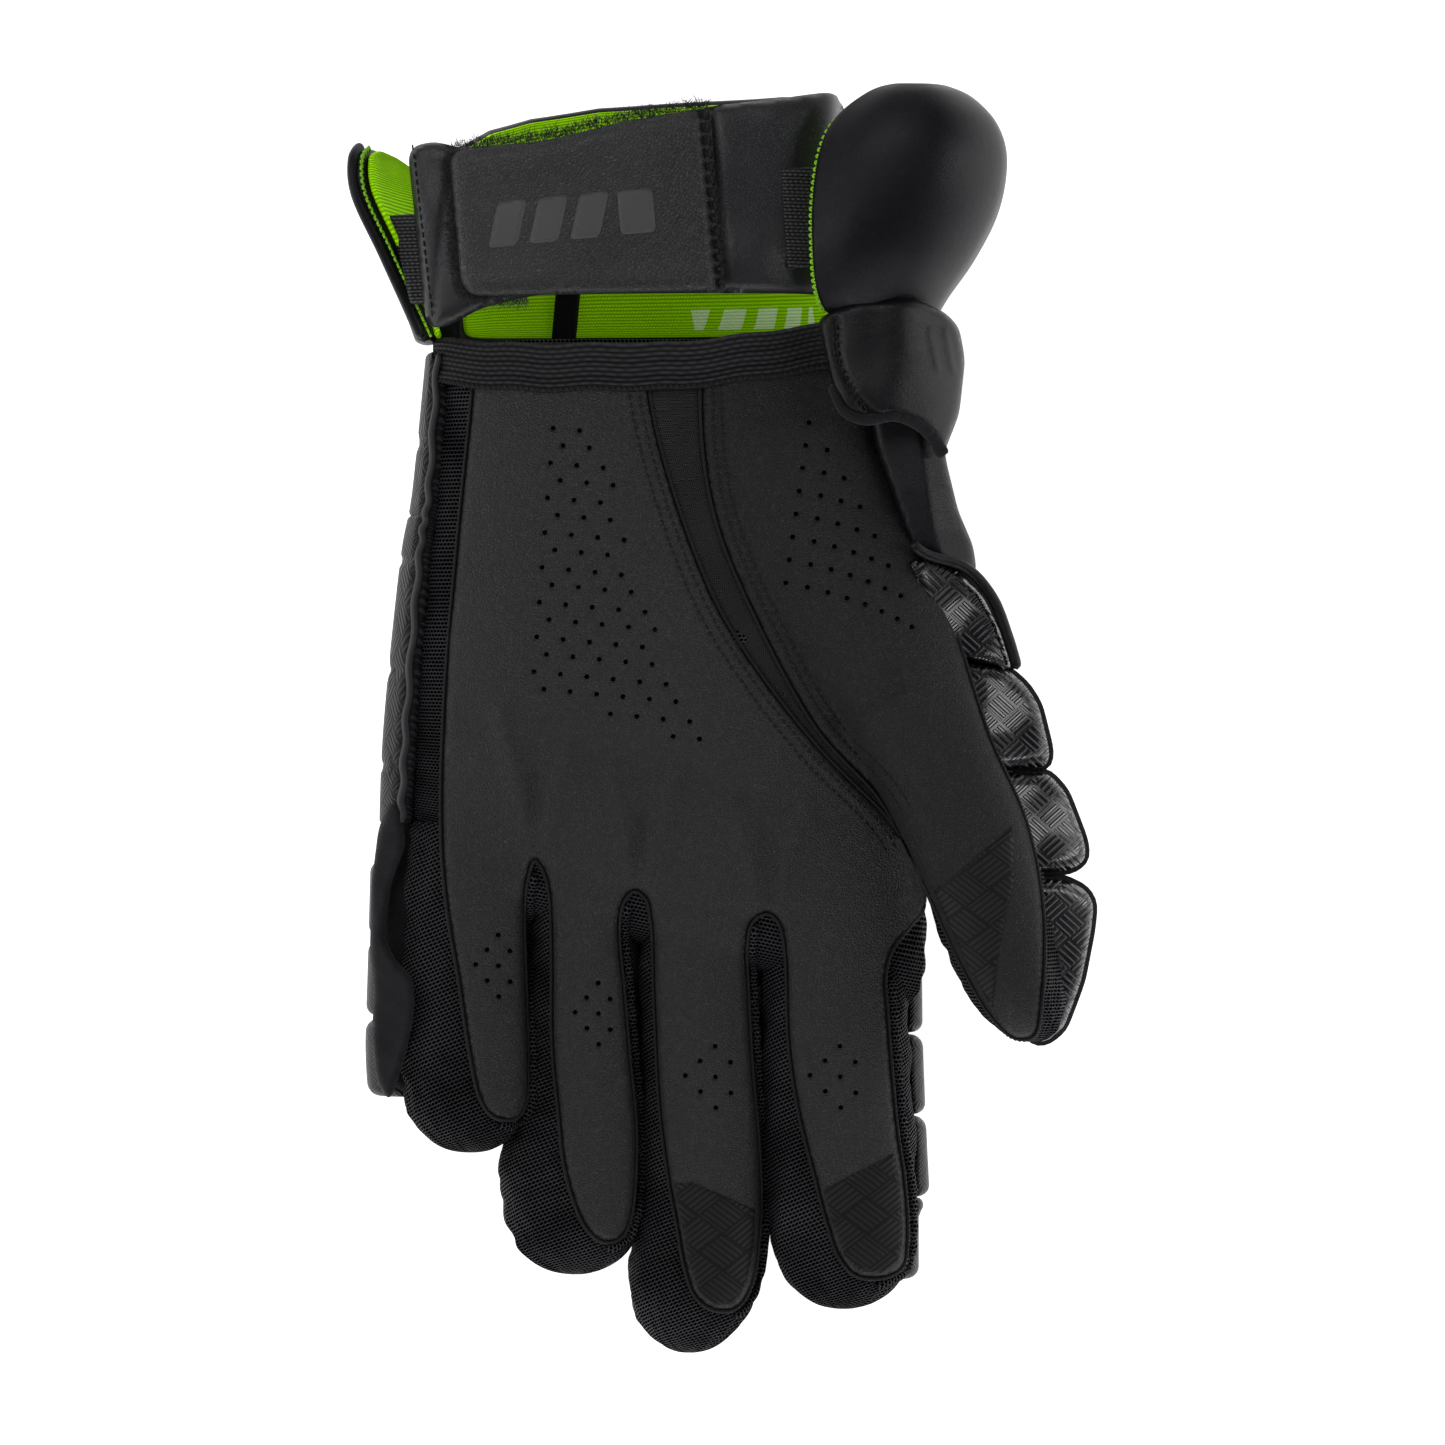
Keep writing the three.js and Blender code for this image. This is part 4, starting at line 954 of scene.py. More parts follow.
STRETCH_SLOT = [
    (-19.5, 93), (-19, 88), (-17, 76), (-11, 55), (-1, 30), (10, 12.8), (25.6, -6.6), (38.5, -20.5),
    (44, -29.5), (46.5, -31.5), (46, -27), (39.5, -19), (24.4, -1.8), (11, 21.7), (-1, 49.2), (-5, 68),
    (-6, 88), (-6, 93),
]
SLOT_LINE = [(-12.5, 92), (-11, 72), (-6, 52), (5, 25), (18, 5), (32, -12), (44, -28)]

slot_outline = offset(smooth_outline(STRETCH_SLOT), 0.8, closed=True)
slot_outline[:, 1] = np.minimum(slot_outline[:, 1], WRIST_CUT)
points, triangles, away = cut_from(slot_outline, 1.1)
line = through(SLOT_LINE, np.linspace(0, 1, 240))  # UVs follow it down the slot
gap = points[:, None] - line
nearest = np.linalg.norm(gap, axis=2).argmin(axis=1)
heading = np.gradient(line, axis=0)[nearest]
heading /= np.linalg.norm(heading, axis=1, keepdims=True)
out = gap[np.arange(len(points)), nearest]
uv = np.column_stack([out[:, 0] * heading[:, 1] - out[:, 1] * heading[:, 0], nearest * length_of(line) / 239])
ripples = 0.12 * np.sin(uv[:, 1] * 2 * math.pi / 2.1)
top = palm_height(*points.T, 0.7) - 0.5 * (1 - rounding(away, 2.5)) + ripples
piece = put("slot_mesh", slab(points, triangles, top, top - 0.7, uv))
dress(piece, SLOT_CLOTH, "mesh", "stretch_slot")
area = cut_area(points, triangles, top)


# Rolled seam allowances
# Beside each finger's leather the mesh is turned under in a narrow roll, with its ribs across it.

ROLLS = {  # where a finger's roll starts, near the tip, and ends, near the crotch
    "little": ((-58, -102.6), (-50.5, -39)), "ring": ((-31, -135), (-25.5, -46)),
    "middle": ((2, -152.6), (8, -51)), "index": ((40, -144.4), (42.3, -66)),
}

rolls = []
for start, end in ROLLS.values():
    path = offset(part_of(main_outline, start, end), 1.75)
    place, up = over(path, palm_height)
    wave = 0.2 * np.sin(np.arange(len(place)) * 0.9)[:, None]
    rolls.append(sweep(place + up * (0.2 + wave), up, 1.25, 1.0))
dress(put("mesh_rolls", *rolls), MESH_CLOTH, "mesh")


# Finger webs
# Dark strips of mesh low between the fingers close the hand where its sleeves part.

WEBS = [((-51, -38), (-52, -82)), ((-22, -42), (-23, -112)), ((10.5, -46), (11, -122))]

webs = []
for start, end in WEBS:
    line = np.linspace(start + (24,), end + (22,), 40)
    webs.append(sweep(line, np.tile([0.0, 0, 1], (40, 1)), 5.5, 6.5, blunt=6.0))
dress(put("finger_webs", *webs), MESH_CLOTH, "mesh")


# Grip prints
# The tips of the index and middle fingers and of the thumb carry a thin hatched grip film on the leather.

GRIP_PRINTS = {
    "index": [(26.3, -121.6), (34.1, -117.6), (44.6, -112.4), (46.3, -120), (47, -133), (45.8, -140.6),
              (41.8, -143.3), (35.5, -142.7), (31.6, -138.4), (28.4, -129.6)],
    "middle": [(-12.6, -120), (-7.8, -119.9), (1.2, -123.6), (8.6, -127.2), (8.2, -136), (6.2, -146.2),
               (2.9, -151.2), (-1.9, -151.4), (-6, -148), (-8.7, -140.4), (-10.5, -131)],
    "thumb": [(54.6, -43.5), (65, -35), (75.1, -26.4), (74.9, -42.3), (72.3, -51.9), (70.7, -61),
              (69.6, -73.8), (62.7, -61.8), (55.4, -45.6)],
}
GRIP_FILM = embossed_film("hatched grip film", (0.002, 0.002, 0.0022), (0.0125, 0.012, 0.013), roughness=0.55,
                          level=0.2, wide=12.5, tall=9.5, hatch=5.5, depth=0.0001)

for finger, outline in GRIP_PRINTS.items():
    dense = np.vstack([np.linspace(a, b, 16)[:-1] for a, b in zip(outline, outline[1:] + outline[:1])])
    points, triangles, away = cut_from(dense[::-1], 1.0)
    top = leather_top(*points.T) + 0.14
    dress(put(f"{finger}_grip", slab(points, triangles, top, top - 0.3)), GRIP_FILM, "leather")


# Sheets and padded trim
# The side roll along the little finger's side, the suede flap below it, the gusset behind them, and the
# thumb's outer plate and collar are flat shapes in film or suede, curved round the hand, with closed edges.

SIDE_ROLL = [
    [97, 0, (-72.5, 44), (-74.5, 35), (-74, 24)], [60, 0, (-75, 44), (-78, 33), (-76, 20)],
    [42, 0, (-77.5, 44), (-81, 33), (-79, 20)], [0, 0, (-81, 42), (-85.5, 31), (-83, 19)],
    [-27, 0, (-82.5, 41), (-87, 31), (-84.5, 19)],
]
FLAP_OUTLINE = [
    (-84, -21), (-82.5, -32), (-86.5, -42), (-88.5, -56), (-85, -62.5), (-80.5, -66), (-80, -74),
    (-82, -84.5), (-84.5, -93), (-87, -99), (-90.5, -94), (-91.8, -82), (-91, -70), (-92.3, -60),
    (-91.8, -42), (-90, -28), (-87, -20),
]
PLATE_OUTLINE = [
    (38, 82), (39.5, 72), (43.5, 61), (47.6, 49), (49.2, 44.6), (54, 43.2), (60, 40.2), (66.2, 38.6),
    (65.2, 46), (61.2, 55), (58, 68), (57, 78), (50, 84),
]
COLLAR_OUTLINE = [
    (24.4, 104), (28.3, 86), (31.9, 79.8), (36.8, 78), (44, 79), (50.2, 77), (54.8, 73), (57, 68.9),
    (61.4, 80), (63, 94), (61.4, 102.5), (57.6, 106), (50, 109), (34, 108),
]
MIDDLE_LINE = [-5.0, 0, 30]  # it runs along y inside the glove, and outer sides face away from it


def sheet_surface(rows, about=0.0):
    """The surface of a curved sheet: a curve through each row's x and z, and curves from row to row. Its y is
    the row's own and its slant times how far x is from about."""
    def surface(s, t):
        levels = []
        for y, slant, *points in rows:
            x, z = np.moveaxis(through(points, s), -1, 0)
            levels.append(np.stack([x, y + slant * (x - about), z], axis=-1))
        return along_rows(np.array(levels), t)
    return surface


def away_from_middle(place):
    return (place - MIDDLE_LINE) * [1, 0, 1]


def padded(surface, thickness, edge, step=1.2, corner=8.0, side=1, swell=0.0, relief=None):
    """Two grids that make a closed pad. Its middle is surface(s, t); half the thickness goes to either side
    of it, and falls off as a quarter ellipse over the last edge millimetres. The unit square's corners are
    drawn in to a superellipse. Relief adds to the outer side, from millimetres across and along."""
    rough = surface(*np.meshgrid(np.linspace(0, 1, 33), np.linspace(0, 1, 33)))
    width, length = length_of(rough[16]), length_of(rough[:, 16])
    a, b = np.meshgrid(stations(width, edge, step), stations(length, edge, step))
    square = np.maximum(np.abs(a), np.abs(b))
    shrink = square / np.maximum((np.abs(a) ** corner + np.abs(b) ** corner) ** (1 / corner), 1e-9)
    middle = surface(0.5 + 0.5 * a * shrink, 0.5 + 0.5 * b * shrink)
    normal = np.cross(np.gradient(middle, axis=1), np.gradient(middle, axis=0))
    normal /= np.maximum(np.linalg.norm(normal, axis=2, keepdims=True), 1e-9)
    centre = middle.shape[0] // 2, middle.shape[1] // 2
    normal *= side * np.sign(normal[centre] @ away_from_middle(middle[centre]))
    to_edge = np.stack([(1 - np.abs(a)) * width / 2, (1 - np.abs(b)) * length / 2]) + 1e-6
    round_off = rounding((to_edge**-4).sum(axis=0) ** -0.25, edge)
    round_off[[0, -1]] = round_off[:, [0, -1]] = 0
    uv = np.stack([a * shrink * width / 2, b * shrink * length / 2], axis=-1)
    upper = thickness / 2 * round_off + swell * (1 - a**2) * (1 - b**2)
    if relief is not None:
        upper = upper + relief(uv[..., 0], uv[..., 1], width, length) * round_off
    outer = middle + normal * upper[..., None]
    inner = middle - normal * (thickness / 2 * round_off)[..., None]
    return patch(outer, uv), patch(inner, uv)


def edge_of(surface, s, t):
    """Points of a surface, and the way out there."""
    across = surface(np.clip(s + 0.01, 0, 1), t) - surface(np.clip(s - 0.01, 0, 1), t)
    along = surface(s, np.clip(t + 0.01, 0, 1)) - surface(s, np.clip(t - 0.01, 0, 1))
    up = np.cross(across, along)
    up /= np.maximum(np.linalg.norm(up, axis=-1, keepdims=True), 1e-9)
    place = surface(s, t)
    return place, up * np.sign((up * away_from_middle(place)).sum(axis=-1, keepdims=True))


def across_rows(rows):
    """The height of a curved sheet over x and y: z along each row's curve at x, and straight from row to
    row."""
    curves = [through(points, np.linspace(0, 1, 120)) for _, _, *points in rows]
    heights = [row[0] for row in rows]

    def height(x, y):
        levels = np.stack([np.interp(x, curve[::-1, 0], curve[::-1, 1]) for curve in curves])
        place = np.clip(np.interp(y, heights, np.arange(len(rows))), 0, len(rows) - 1.001)
        low = place.astype(int)
        below, above = (np.take_along_axis(levels, row[None], 0)[0] for row in (low, low + 1))
        return below * (1 - place + low) + above * (place - low)
    return height


def rounded(outline, radius, step=0.8):
    """An outline with straight sides, and corners rounded by pulling its points to the middle of their
    neighbours."""
    dense = np.vstack([np.linspace(a, b, max(2, round(math.dist(a, b) / step)) + 1)[:-1]
                       for a, b in zip(outline, outline[1:] + outline[:1])])
    for _ in range(round(radius / step) ** 2 * 2):
        dense = (np.roll(dense, 1, axis=0) + 2 * dense + np.roll(dense, -1, axis=0)) / 4
    return anticlockwise(dense)


def pillow(outline, radius, height, above, below, edge, step=1.0, relief=None):
    """A closed pad cut to an outline in plan. Its rim lies on height(x, y); from there its faces rise above
    and fall below it as quarter ellipses, edge wide. Relief adds to the upper face."""
    points, triangles, away = cut_from(rounded(outline, radius), step)
    x, y = points.T
    rim = height(x, y)
    round_off = rounding(away, edge)
    lift = above if relief is None else above + relief(x, y)
    return slab(points, triangles, rim + lift * round_off, rim - below * round_off)


def plain_film(name, color, roughness=0.45, level=0.3):
    """Smooth polyurethane film over foam: a very fine grain and soft uneven tone."""
    material, graph, shader = finish(name, roughness, level)
    place = graph.glove_place()
    shade = graph.group(TONE, {"Place": place, "Size": 18.0, "Amount": 0.2})
    dark, light = ([share * part for part in color] for share in (0.72, 1.28))
    graph.feed(shader["Base Color"], graph.mix(shade * 0.5, dark, light))
    graph.feed(shader["Normal"], graph.bump(graph.group(GRAIN, {"Place": place, "Size": 0.5}), 0.00003))
    return material


def brushed(name, roughness, level, scale, detail, dark, light, **sockets):
    """Short fibres, darker and paler in small patches. Returns the material, its graph, its shader and where
    the fibres are high."""
    material, graph, shader = finish(name, roughness, level, **sockets)
    nap = graph.noise(graph.glove_place(), scale, detail)
    graph.feed(shader["Base Color"], graph.mix(nap, dark, light))
    return material, graph, shader, nap


SIDE_FILM = embossed_film("side roll film", (0.006, 0.006, 0.007), (0.02, 0.02, 0.023), roughness=0.4,
                          wide=8.0, tall=8.0, hatch=4.5, depth=0.0004, level=0.12)
SUEDE, suede_graph, suede_in, nap = brushed(
    "brushed suede", 0.9, 0.15, 1.6, 4.0, (0.003, 0.003, 0.004), (0.014, 0.014, 0.016),
    Sheen_Weight=0.08, Sheen_Roughness=0.4)
suede_graph.feed(suede_in["Normal"], suede_graph.bump(nap, 0.0002))
BINDING_TAPE = plain_film("folded binding tape", (0.012, 0.012, 0.014), roughness=0.5)
PLATE_FILM = plain_film("thumb plate film", (0.0045, 0.0044, 0.006), roughness=0.36, level=0.2)
COLLAR_FILM = plain_film("collar film", (0.0045, 0.0044, 0.0056), roughness=0.36, level=0.2)


def roll_relief(u, v, width, length):
    """Shallow cross channels every 21 millimetres."""
    return -0.7 * bell((v + 10.5) % 21 - 10.5, 1.1)


roll_surface = sheet_surface(SIDE_ROLL)
piece = put("side_roll_foam", *padded(roll_surface, 6, 2.8, relief=roll_relief, swell=0.5))
dress(piece, SIDE_FILM, "embossed", "side_roll")
share = np.linspace(0.01, 0.99, 160)
line, up = edge_of(roll_surface, 0 * share, share)
wobble = np.column_stack([0.35 * np.sin(share * 74), 0 * share, 0.25 * np.sin(share * 51)])
dress(put("side_roll_binding", sweep(line + up * 1.4 + wobble, up, 1.3, 1.0)), BINDING_TAPE, "embossed")


def flap_height(x, y):
    """Beside the little finger, lower outwards."""
    return 40 + 0.7 * np.clip(x + 85, -12, 6)


def flap_relief(x, y):
    """A wavy face: slow swells that run across it."""
    return 0.5 * np.sin(y / 5.2) + 0.3 * creases(x, y, 9, 41)


piece = put("side_flap_suede", pillow(FLAP_OUTLINE, 2.0, flap_height, 1.7, 1.7, 1.8, relief=flap_relief))
dress(piece, SUEDE, "suede", "little_side_flap")

GUSSET_OUTLINE = [
    (-70, 108), (-76, 108), (-75, 60), (-80, 20), (-83, -22), (-89, -45), (-88, -94), (-78, -100),
    (-74, -60), (-76, 0), (-66, 60),
]
gusset_height = across_rows([[-110, 0, (-60, 36), (-90, 33)], [110, 0, (-60, 36), (-90, 33)]])
dress(put("side_gusset", pillow(GUSSET_OUTLINE, 2.0, gusset_height, 1.0, 16, 2.0, step=2.0)), SUEDE, "mesh")


def plate_height(x, y):
    """Two flat facets: a gentle one beside the leather, and a steep one from the ridge down the outer
    side."""
    ridge = np.interp(y, [38, 50, 77], [58.5, 54.5, 50.5])
    steep, low = np.clip(x - ridge, 0, None), np.clip(60 - y, 0, None)
    return 52 - 0.16 * np.abs(x - ridge) - 0.45 * steep - 0.06 * low


piece = put("thumb_plate_foam", pillow(PLATE_OUTLINE, 1.6, plate_height, 1.8, 16, 2.4))
dress(piece, PLATE_FILM, "coated", "thumb_plate")


def collar_height(x, y):
    """Over the palm's edge and down the outer side."""
    return 64 - 0.03 * np.clip(x - 40, 0, None) ** 2 - 0.012 * np.clip(38 - x, 0, None) ** 2


COLLAR_SEAM = [(29.2, 103.5), (30, 93), (33.6, 85), (36.6, 81), (38, 79.2)]
COLLAR_HEM = [(28, 87), (31.8, 79.8), (36.8, 77.8), (44, 78.8), (50.2, 76.8), (54.8, 72.8), (57.4, 68.6)]
collar_seam = through(COLLAR_SEAM, np.linspace(0, 1, 90))


def soft_step(beyond, sharp):
    """1 well inside an edge, and 0 well beyond it."""
    return 1 / (1 + np.exp(beyond * sharp))


def collar_relief(x, y):
    """A puckered valley along the seam, and two plain raised bars near the outer side."""
    gap = np.linalg.norm(np.column_stack([x, y])[:, None] - collar_seam, axis=2)
    valley = -1.4 * bell(gap.min(axis=1), 1.2) * (1 + 0.3 * np.sin(gap.argmin(axis=1) * 1.1))
    bars = sum(0.55 * soft_step(np.abs(x - start + 0.2 * (y - 96)) - 0.8, 5) for start in (54.5, 58.5))
    return valley + bars * soft_step(np.abs(y - 96) - 5.5, 3) + 0.4 * creases(x, y, 16, 21)


collar = pillow(COLLAR_OUTLINE, 1.6, collar_height, 2.3, 2.0, 2.4, step=0.8, relief=collar_relief)
piece = put("thumb_collar_foam", collar)
dress(piece, COLLAR_FILM, "coated", "thumb_collar")
line, up = over(collar_seam[3:-3], lambda x, y: collar_height(x, y) + 1.2)
dress(put("collar_stitching", stitches(line, up, pitch=2.2, length=1.5, thick=0.3)), THREAD, "coated")
hem = through(COLLAR_HEM, np.linspace(0, 1, 80))
line, up = over(hem, collar_height)
ragged = 0.25 * creases(hem[:, :1], hem[:, 1:], 2.5, 51) * up
dress(put("collar_hem", sweep(line + ragged, up, 1.5, 2.2)), SUEDE, "coated")


# Thumb pads
# Four blocks of foam down the outer side of the thumb, under a glossier embossed film, with a dark backing
# between them and a lip along the first one's upper edge.

THUMB_PADS = {  # outlines in plan; the left edges lie under the leather
    "thumb_pad_1": [(47.5, 42), (53, 43), (60, 40), (67.5, 33), (72, 24), (75.4, 13.4), (66, 15.3),
                    (56, 18.5), (52, 30)],
    "thumb_pad_2": [(56, 17), (66, 15), (73.5, 14.2), (79, 9.6), (82.2, 4.6), (85.2, -7.5), (84.6, -11.4),
                    (71.5, -12.2), (63, -10), (60, 4)],
    "thumb_pad_3": [(65, -13), (72.3, -13.4), (84.5, -13), (89.2, -18), (94.2, -31), (94.6, -35.6),
                    (91, -38.2), (82.9, -39), (72, -38), (70, -26)],
    "thumb_pad_4": [(73, -40), (82.9, -40.6), (89, -40.8), (94.5, -43.5), (96.6, -47), (95.9, -54),
                    (93.4, -67), (88.7, -79.6), (84.4, -83), (80.5, -83), (77.5, -66)],
}
THUMB_FILM = embossed_film("glossy pad film", (0.002, 0.002, 0.003), (0.009, 0.009, 0.012), roughness=0.17,
                           level=0.55, wide=9.0, tall=8.0, hatch=4.0, depth=0.0009)


def thumb_side(x, y):
    """The upper side of the pads: level with the leather's edge, and sloping down outwards and to the tip."""
    line = np.interp(y, [-82, -73, -49, -26.5, -3, 25.5, 42], [79, 82, 81, 76.5, 67.5, 59, 53])
    return 51.5 - 0.42 * (x - line) - 0.1 * np.clip(-45 - y, 0, None)


def pad_crown(x, y):
    """Slow swells, so that the film catches the light unevenly."""
    return 0.45 * creases(x, y, 17, 31)


backing = []
for node, outline in THUMB_PADS.items():
    piece = put(f"{node}_foam", pillow(outline, 1.5, thumb_side, 2.6, 24, 3.0, relief=pad_crown))
    dress(piece, THUMB_FILM, "embossed", node)
    loop = offset(rounded(outline, 1.5), 1.3, closed=True)
    points, triangles, away = cut_from(loop[::2], 1.6)
    lower = thumb_side(*points.T) - 2.2
    backing.append(slab(points, triangles, lower, lower - 9))
dress(put("thumb_backing", *backing), SUEDE, "embossed")

THUMB_LIP = [(48.6, 46.4), (52.8, 43.5), (62.9, 40.2), (69.8, 32.8), (74, 22.5), (76.6, 13.7)]
lip = through(THUMB_LIP, np.linspace(0, 1, 70))
line, up = over(lip, lambda x, y: thumb_side(x, y) + 2.0)
dress(put("thumb_lip", sweep(line, up, 1.5, 1.4)), COLLAR_FILM, "embossed")


# Cuff
# The back of the cuff is a long foam shell in smooth film, which the wrist lies in. Green ribbed lining
# cloth covers its inner side, with pale lozenges printed on it in rows.

CUFF = [  # y, x, z, half width, half height, from and to degrees, how much of the rim's rise
    [86, -20.5, 35, 55, 26, 200, 368, 0], [104, -21.5, 35.5, 53, 27.5, 200, 366, 0.1],
    [128, -22, 38, 52.5, 32.5, 198, 358, 0.5], [161.6, -22, 41.5, 52, 38.5, 196, 340, 1],
]
CUFF_LINING = [
    [102, -21.5, 35.5, 53, 27.5, 201, 364, 0.1], [120, -22, 37.3, 52.6, 31, 200, 358, 0.4],
    [138, -22, 39.5, 52.3, 34.8, 199, 350, 0.65], [161.4, -22, 41.4, 52, 38.4, 198, 339, 1],
]
RIM_X = [-76, -70, -61, -51, -33, -16, -4, 16, 28]  # the cuff's rim rises towards the thumb
RIM_RISE = [-16.5, -12.5, -6, -2.5, 0.9, 2.1, 2.6, 2.8, 1.6]


def arc_surface(rows, inset):
    """Part of an ellipse at each height y, drawn in by inset, and smooth from row to row."""
    def surface(s, t):
        y, x, z, wide, high, start, end, share = np.moveaxis(along_rows(rows, t), -1, 0)
        angle = np.radians(start + (end - start) * s)
        px, pz = x + (wide - inset) * np.cos(angle), z + (high - inset) * np.sin(angle)
        return np.stack([px, y + share * np.interp(px, RIM_X, RIM_RISE), pz], axis=-1)
    return surface


def rib_group():
    """Ribs across V, each rounded, with a fine stitch along U. Height is 1 on a rib's crown."""
    inputs = {"Place": None, "Rib": 0.9, "Stitch": 0.7}
    tree, graph, given, height = shader_group("ribbed knit", inputs, "Height")
    row = graph.across(given["Place"], 1) / given["Rib"]
    crown = graph.math("ABSOLUTE", graph.math("SINE", row * math.pi))
    shift = graph.math("FLOOR", row) % 2.0 * (math.pi / 2)
    column = graph.across(given["Place"], 0) / given["Stitch"] * math.pi + shift
    loop = graph.math("ABSOLUTE", graph.math("SINE", column))
    graph.feed(height, crown * (0.55 + loop * 0.45))
    return tree


RIBS = rib_group()


def lining_cloth(name, rib, printed):
    """Lime green ribbed cloth, paler on its ribs, and where it is printed with rows of slanted pale
    lozenges. It glows faintly in its own colour, a painted light that lifts it out of the shade."""
    # Painted light: a faint glow, fed below with the cloth's own colour, brightens the lining in its shade.
    material, graph, shader = finish(name, 0.8, 0.05, Emission_Strength=0.15)
    place = graph.cloth_place()
    height = graph.group(RIBS, {"Place": place, "Rib": rib, "Stitch": 0.7})
    color = graph.mix(height, (0.13, 0.36, 0.0005), (0.42, 0.9, 0.002))
    if printed:
        u, v = graph.across(place, 0), graph.across(place, 1)
        in_column = graph.from_middle((u - v * 0.4) / 9.0)
        in_row = graph.from_middle((v + 14.5) / 21.0)
        mark = graph.rise(in_column, 0.33, 0.3) * graph.rise(in_row, 0.16, 0.14)
        mark = mark * (graph.rise(u, 3.0, 3.4) * graph.rise(u, 40.0, 39.6))
        color = graph.mix(mark * 0.6, color, (0.8, 0.95, 0.7))
    graph.feed(shader["Base Color"], color)
    graph.feed(shader["Emission Color"], color)
    graph.feed(shader["Normal"], graph.bump(height, 0.0003))
    return material


GREEN_CLOTH = lining_cloth("green lining cloth", 0.95, True)
GREEN_RIBS = lining_cloth("green ribbed cloth", 0.8, False)
CUFF_FILM = plain_film("cuff film", (0.014, 0.014, 0.016), roughness=0.5)

piece = put("cuff_foam", *padded(arc_surface(CUFF, 0), 5, 2.5, step=2.0, corner=14))
dress(piece, CUFF_FILM, "coated", "cuff_back")
lining_surface = arc_surface(CUFF_LINING, 3.4)
piece = put("cuff_lining_cloth", *padded(lining_surface, 1.4, 0.7, step=1.5, corner=14, side=-1))
dress(piece, GREEN_CLOTH, "lining", "cuff_lining")
edge = np.linspace(0.02, 0.98, 200)
line, up = edge_of(arc_surface(CUFF, 0.6), edge, np.full(200, 1.0))
dress(put("cuff_rim", sweep(line, up, 1.2, 2.6, sides=14)), BINDING_TAPE, "coated")

# A dark strip of suede on the green lining, where the lining shows a dark opening.
DARK_STRIP_OUTLINE = [(-45.5, 99), (-39, 99), (-37.5, 116), (-44, 116)]
dark_strip = pillow(DARK_STRIP_OUTLINE, 0.8, lambda x, y: 7.6 + 0.35 * np.abs(x + 22), 2.2, 1.0, 1.0)
dress(put("lining_dark_strip", dark_strip), SUEDE, "webbing")


# Wrist binding
# A knit band folded over the palm's top edge, with an overlocked lower edge.

BINDING_TOP, BINDING_BOTTOM = 101.0, 88.4


def binding_surface(s, t):
    """The hand's section grown by the leather, from one side over the palm to the other."""
    angle = np.radians(8 + 164 * s)
    y = BINDING_TOP + (BINDING_BOTTOM - BINDING_TOP) * t
    x, z, w, h = section(FORMS["hand"], np.minimum(y, 99))
    c, up = oval(angle)
    across = x + (w + 1.6) * c
    sag = np.interp(across, [-74, -60, -47, -11, 10, 28, 34], [-0.5, -2.4, -3.2, -2.8, 0, 3, 3.4])
    return np.stack([across, y + sag + 0.25 * np.sin(across / 3.1), z + (h + 1.6) * up], axis=-1)


def knit_band(name, rib, stitch, light=(0.03, 0.0295, 0.034)):
    """Black knitted band: fine ribs with a stitch along each."""
    material, graph, shader = finish(name, 0.7, 0.2)
    height = graph.group(RIBS, {"Place": graph.cloth_place(), "Rib": rib, "Stitch": stitch})
    graph.feed(shader["Base Color"], graph.mix(height**1.6, (0.0012, 0.0012, 0.0015), light))
    graph.feed(shader["Normal"], graph.bump(height, 0.0005))
    return material


KNIT_BAND = knit_band("knitted binding", 1.25, 2.4)


def binding_relief(u, v, width, length):
    """Three soft rolls along the band, and a firmer one where the lower edge is overlocked."""
    return 0.25 * np.cos(v * 2 * math.pi / 4.2) + 0.35 * bell(v - length / 2 + 1.6, 0.8)


piece = put("binding_band", *padded(binding_surface, 2.2, 1.1, step=0.9, relief=binding_relief))
dress(piece, KNIT_BAND, "webbing", "wrist_binding")
line, up = edge_of(binding_surface, np.linspace(0.06, 0.94, 260), np.full(260, 0.93))
overlock = stitches(line + up * 1.45, up, pitch=0.75, length=1.7, thick=0.22, lean=1.1)
dress(put("binding_overlock", overlock), THREAD, "webbing")


# Wrist strap and tab
# A foam strap in smooth film crosses the wrist. Its closing tab, in a paler film, is pressed onto it with
# hook-and-loop, and the loop's fuzz shows along the tab's edges.

WRIST_STRAP = [
    [98, 0, (30, 38), (25.5, 51), (17, 58.5), (2, 62.5), (-24, 64.5), (-52, 64.3), (-82, 59.5)],
    [132, 0, (30.4, 39.5), (27.5, 52), (20.5, 58.5), (6, 62.5), (-22, 64.5), (-52, 64.3), (-83, 60)],
    [168, 0, (30.5, 43), (29.5, 53), (23, 59), (8, 62.5), (-20, 64.5), (-50, 64.5), (-83, 60.5)],
]
STRAP_OUTLINE = [
    (-81, 146), (-79.5, 148.6), (-74, 149.6), (-66, 147.4), (-49, 147.6), (-41, 149), (-26, 152.6),
    (-13.4, 155.4), (-3, 158.4), (16, 160.8), (28.4, 163), (31.4, 161.6), (32.2, 157), (29.8, 150),
    (29.5, 110.6), (0, 110.4), (-48, 109.8), (-62, 106.5), (-71, 101.8), (-74.5, 101.2), (-76.3, 103),
]
STRAP_TAB = [
    [100, 0, (4, 66.6), (-24, 68.5), (-50, 68.4), (-74, 65.6)],
    [166, 0, (4, 67.2), (-24, 68.8), (-50, 68.7), (-74, 66)],
]
TAB_OUTLINE = [
    (-70, 145), (-67, 147.4), (-49, 148.6), (-41, 150), (-26, 153.9), (-13.4, 156), (-3.2, 157.8),
    (0.6, 110.6), (-60, 109.2), (-65, 109.6), (-67.2, 113),
]
STRAP_FILM = plain_film("strap film", (0.0105, 0.0105, 0.0125), roughness=0.36, level=0.36)
TAB_FILM = leather("tab film", (0.012, 0.012, 0.0128), (0.0175, 0.0175, 0.0188), roughness=0.42, level=0.35,
                   size=0.9, depth=0.00008)


def groove_x(y):
    """Where a stitched groove crosses the strap and the tab."""
    return np.interp(y, [109.6, 159.8], [0.9, -3.9])


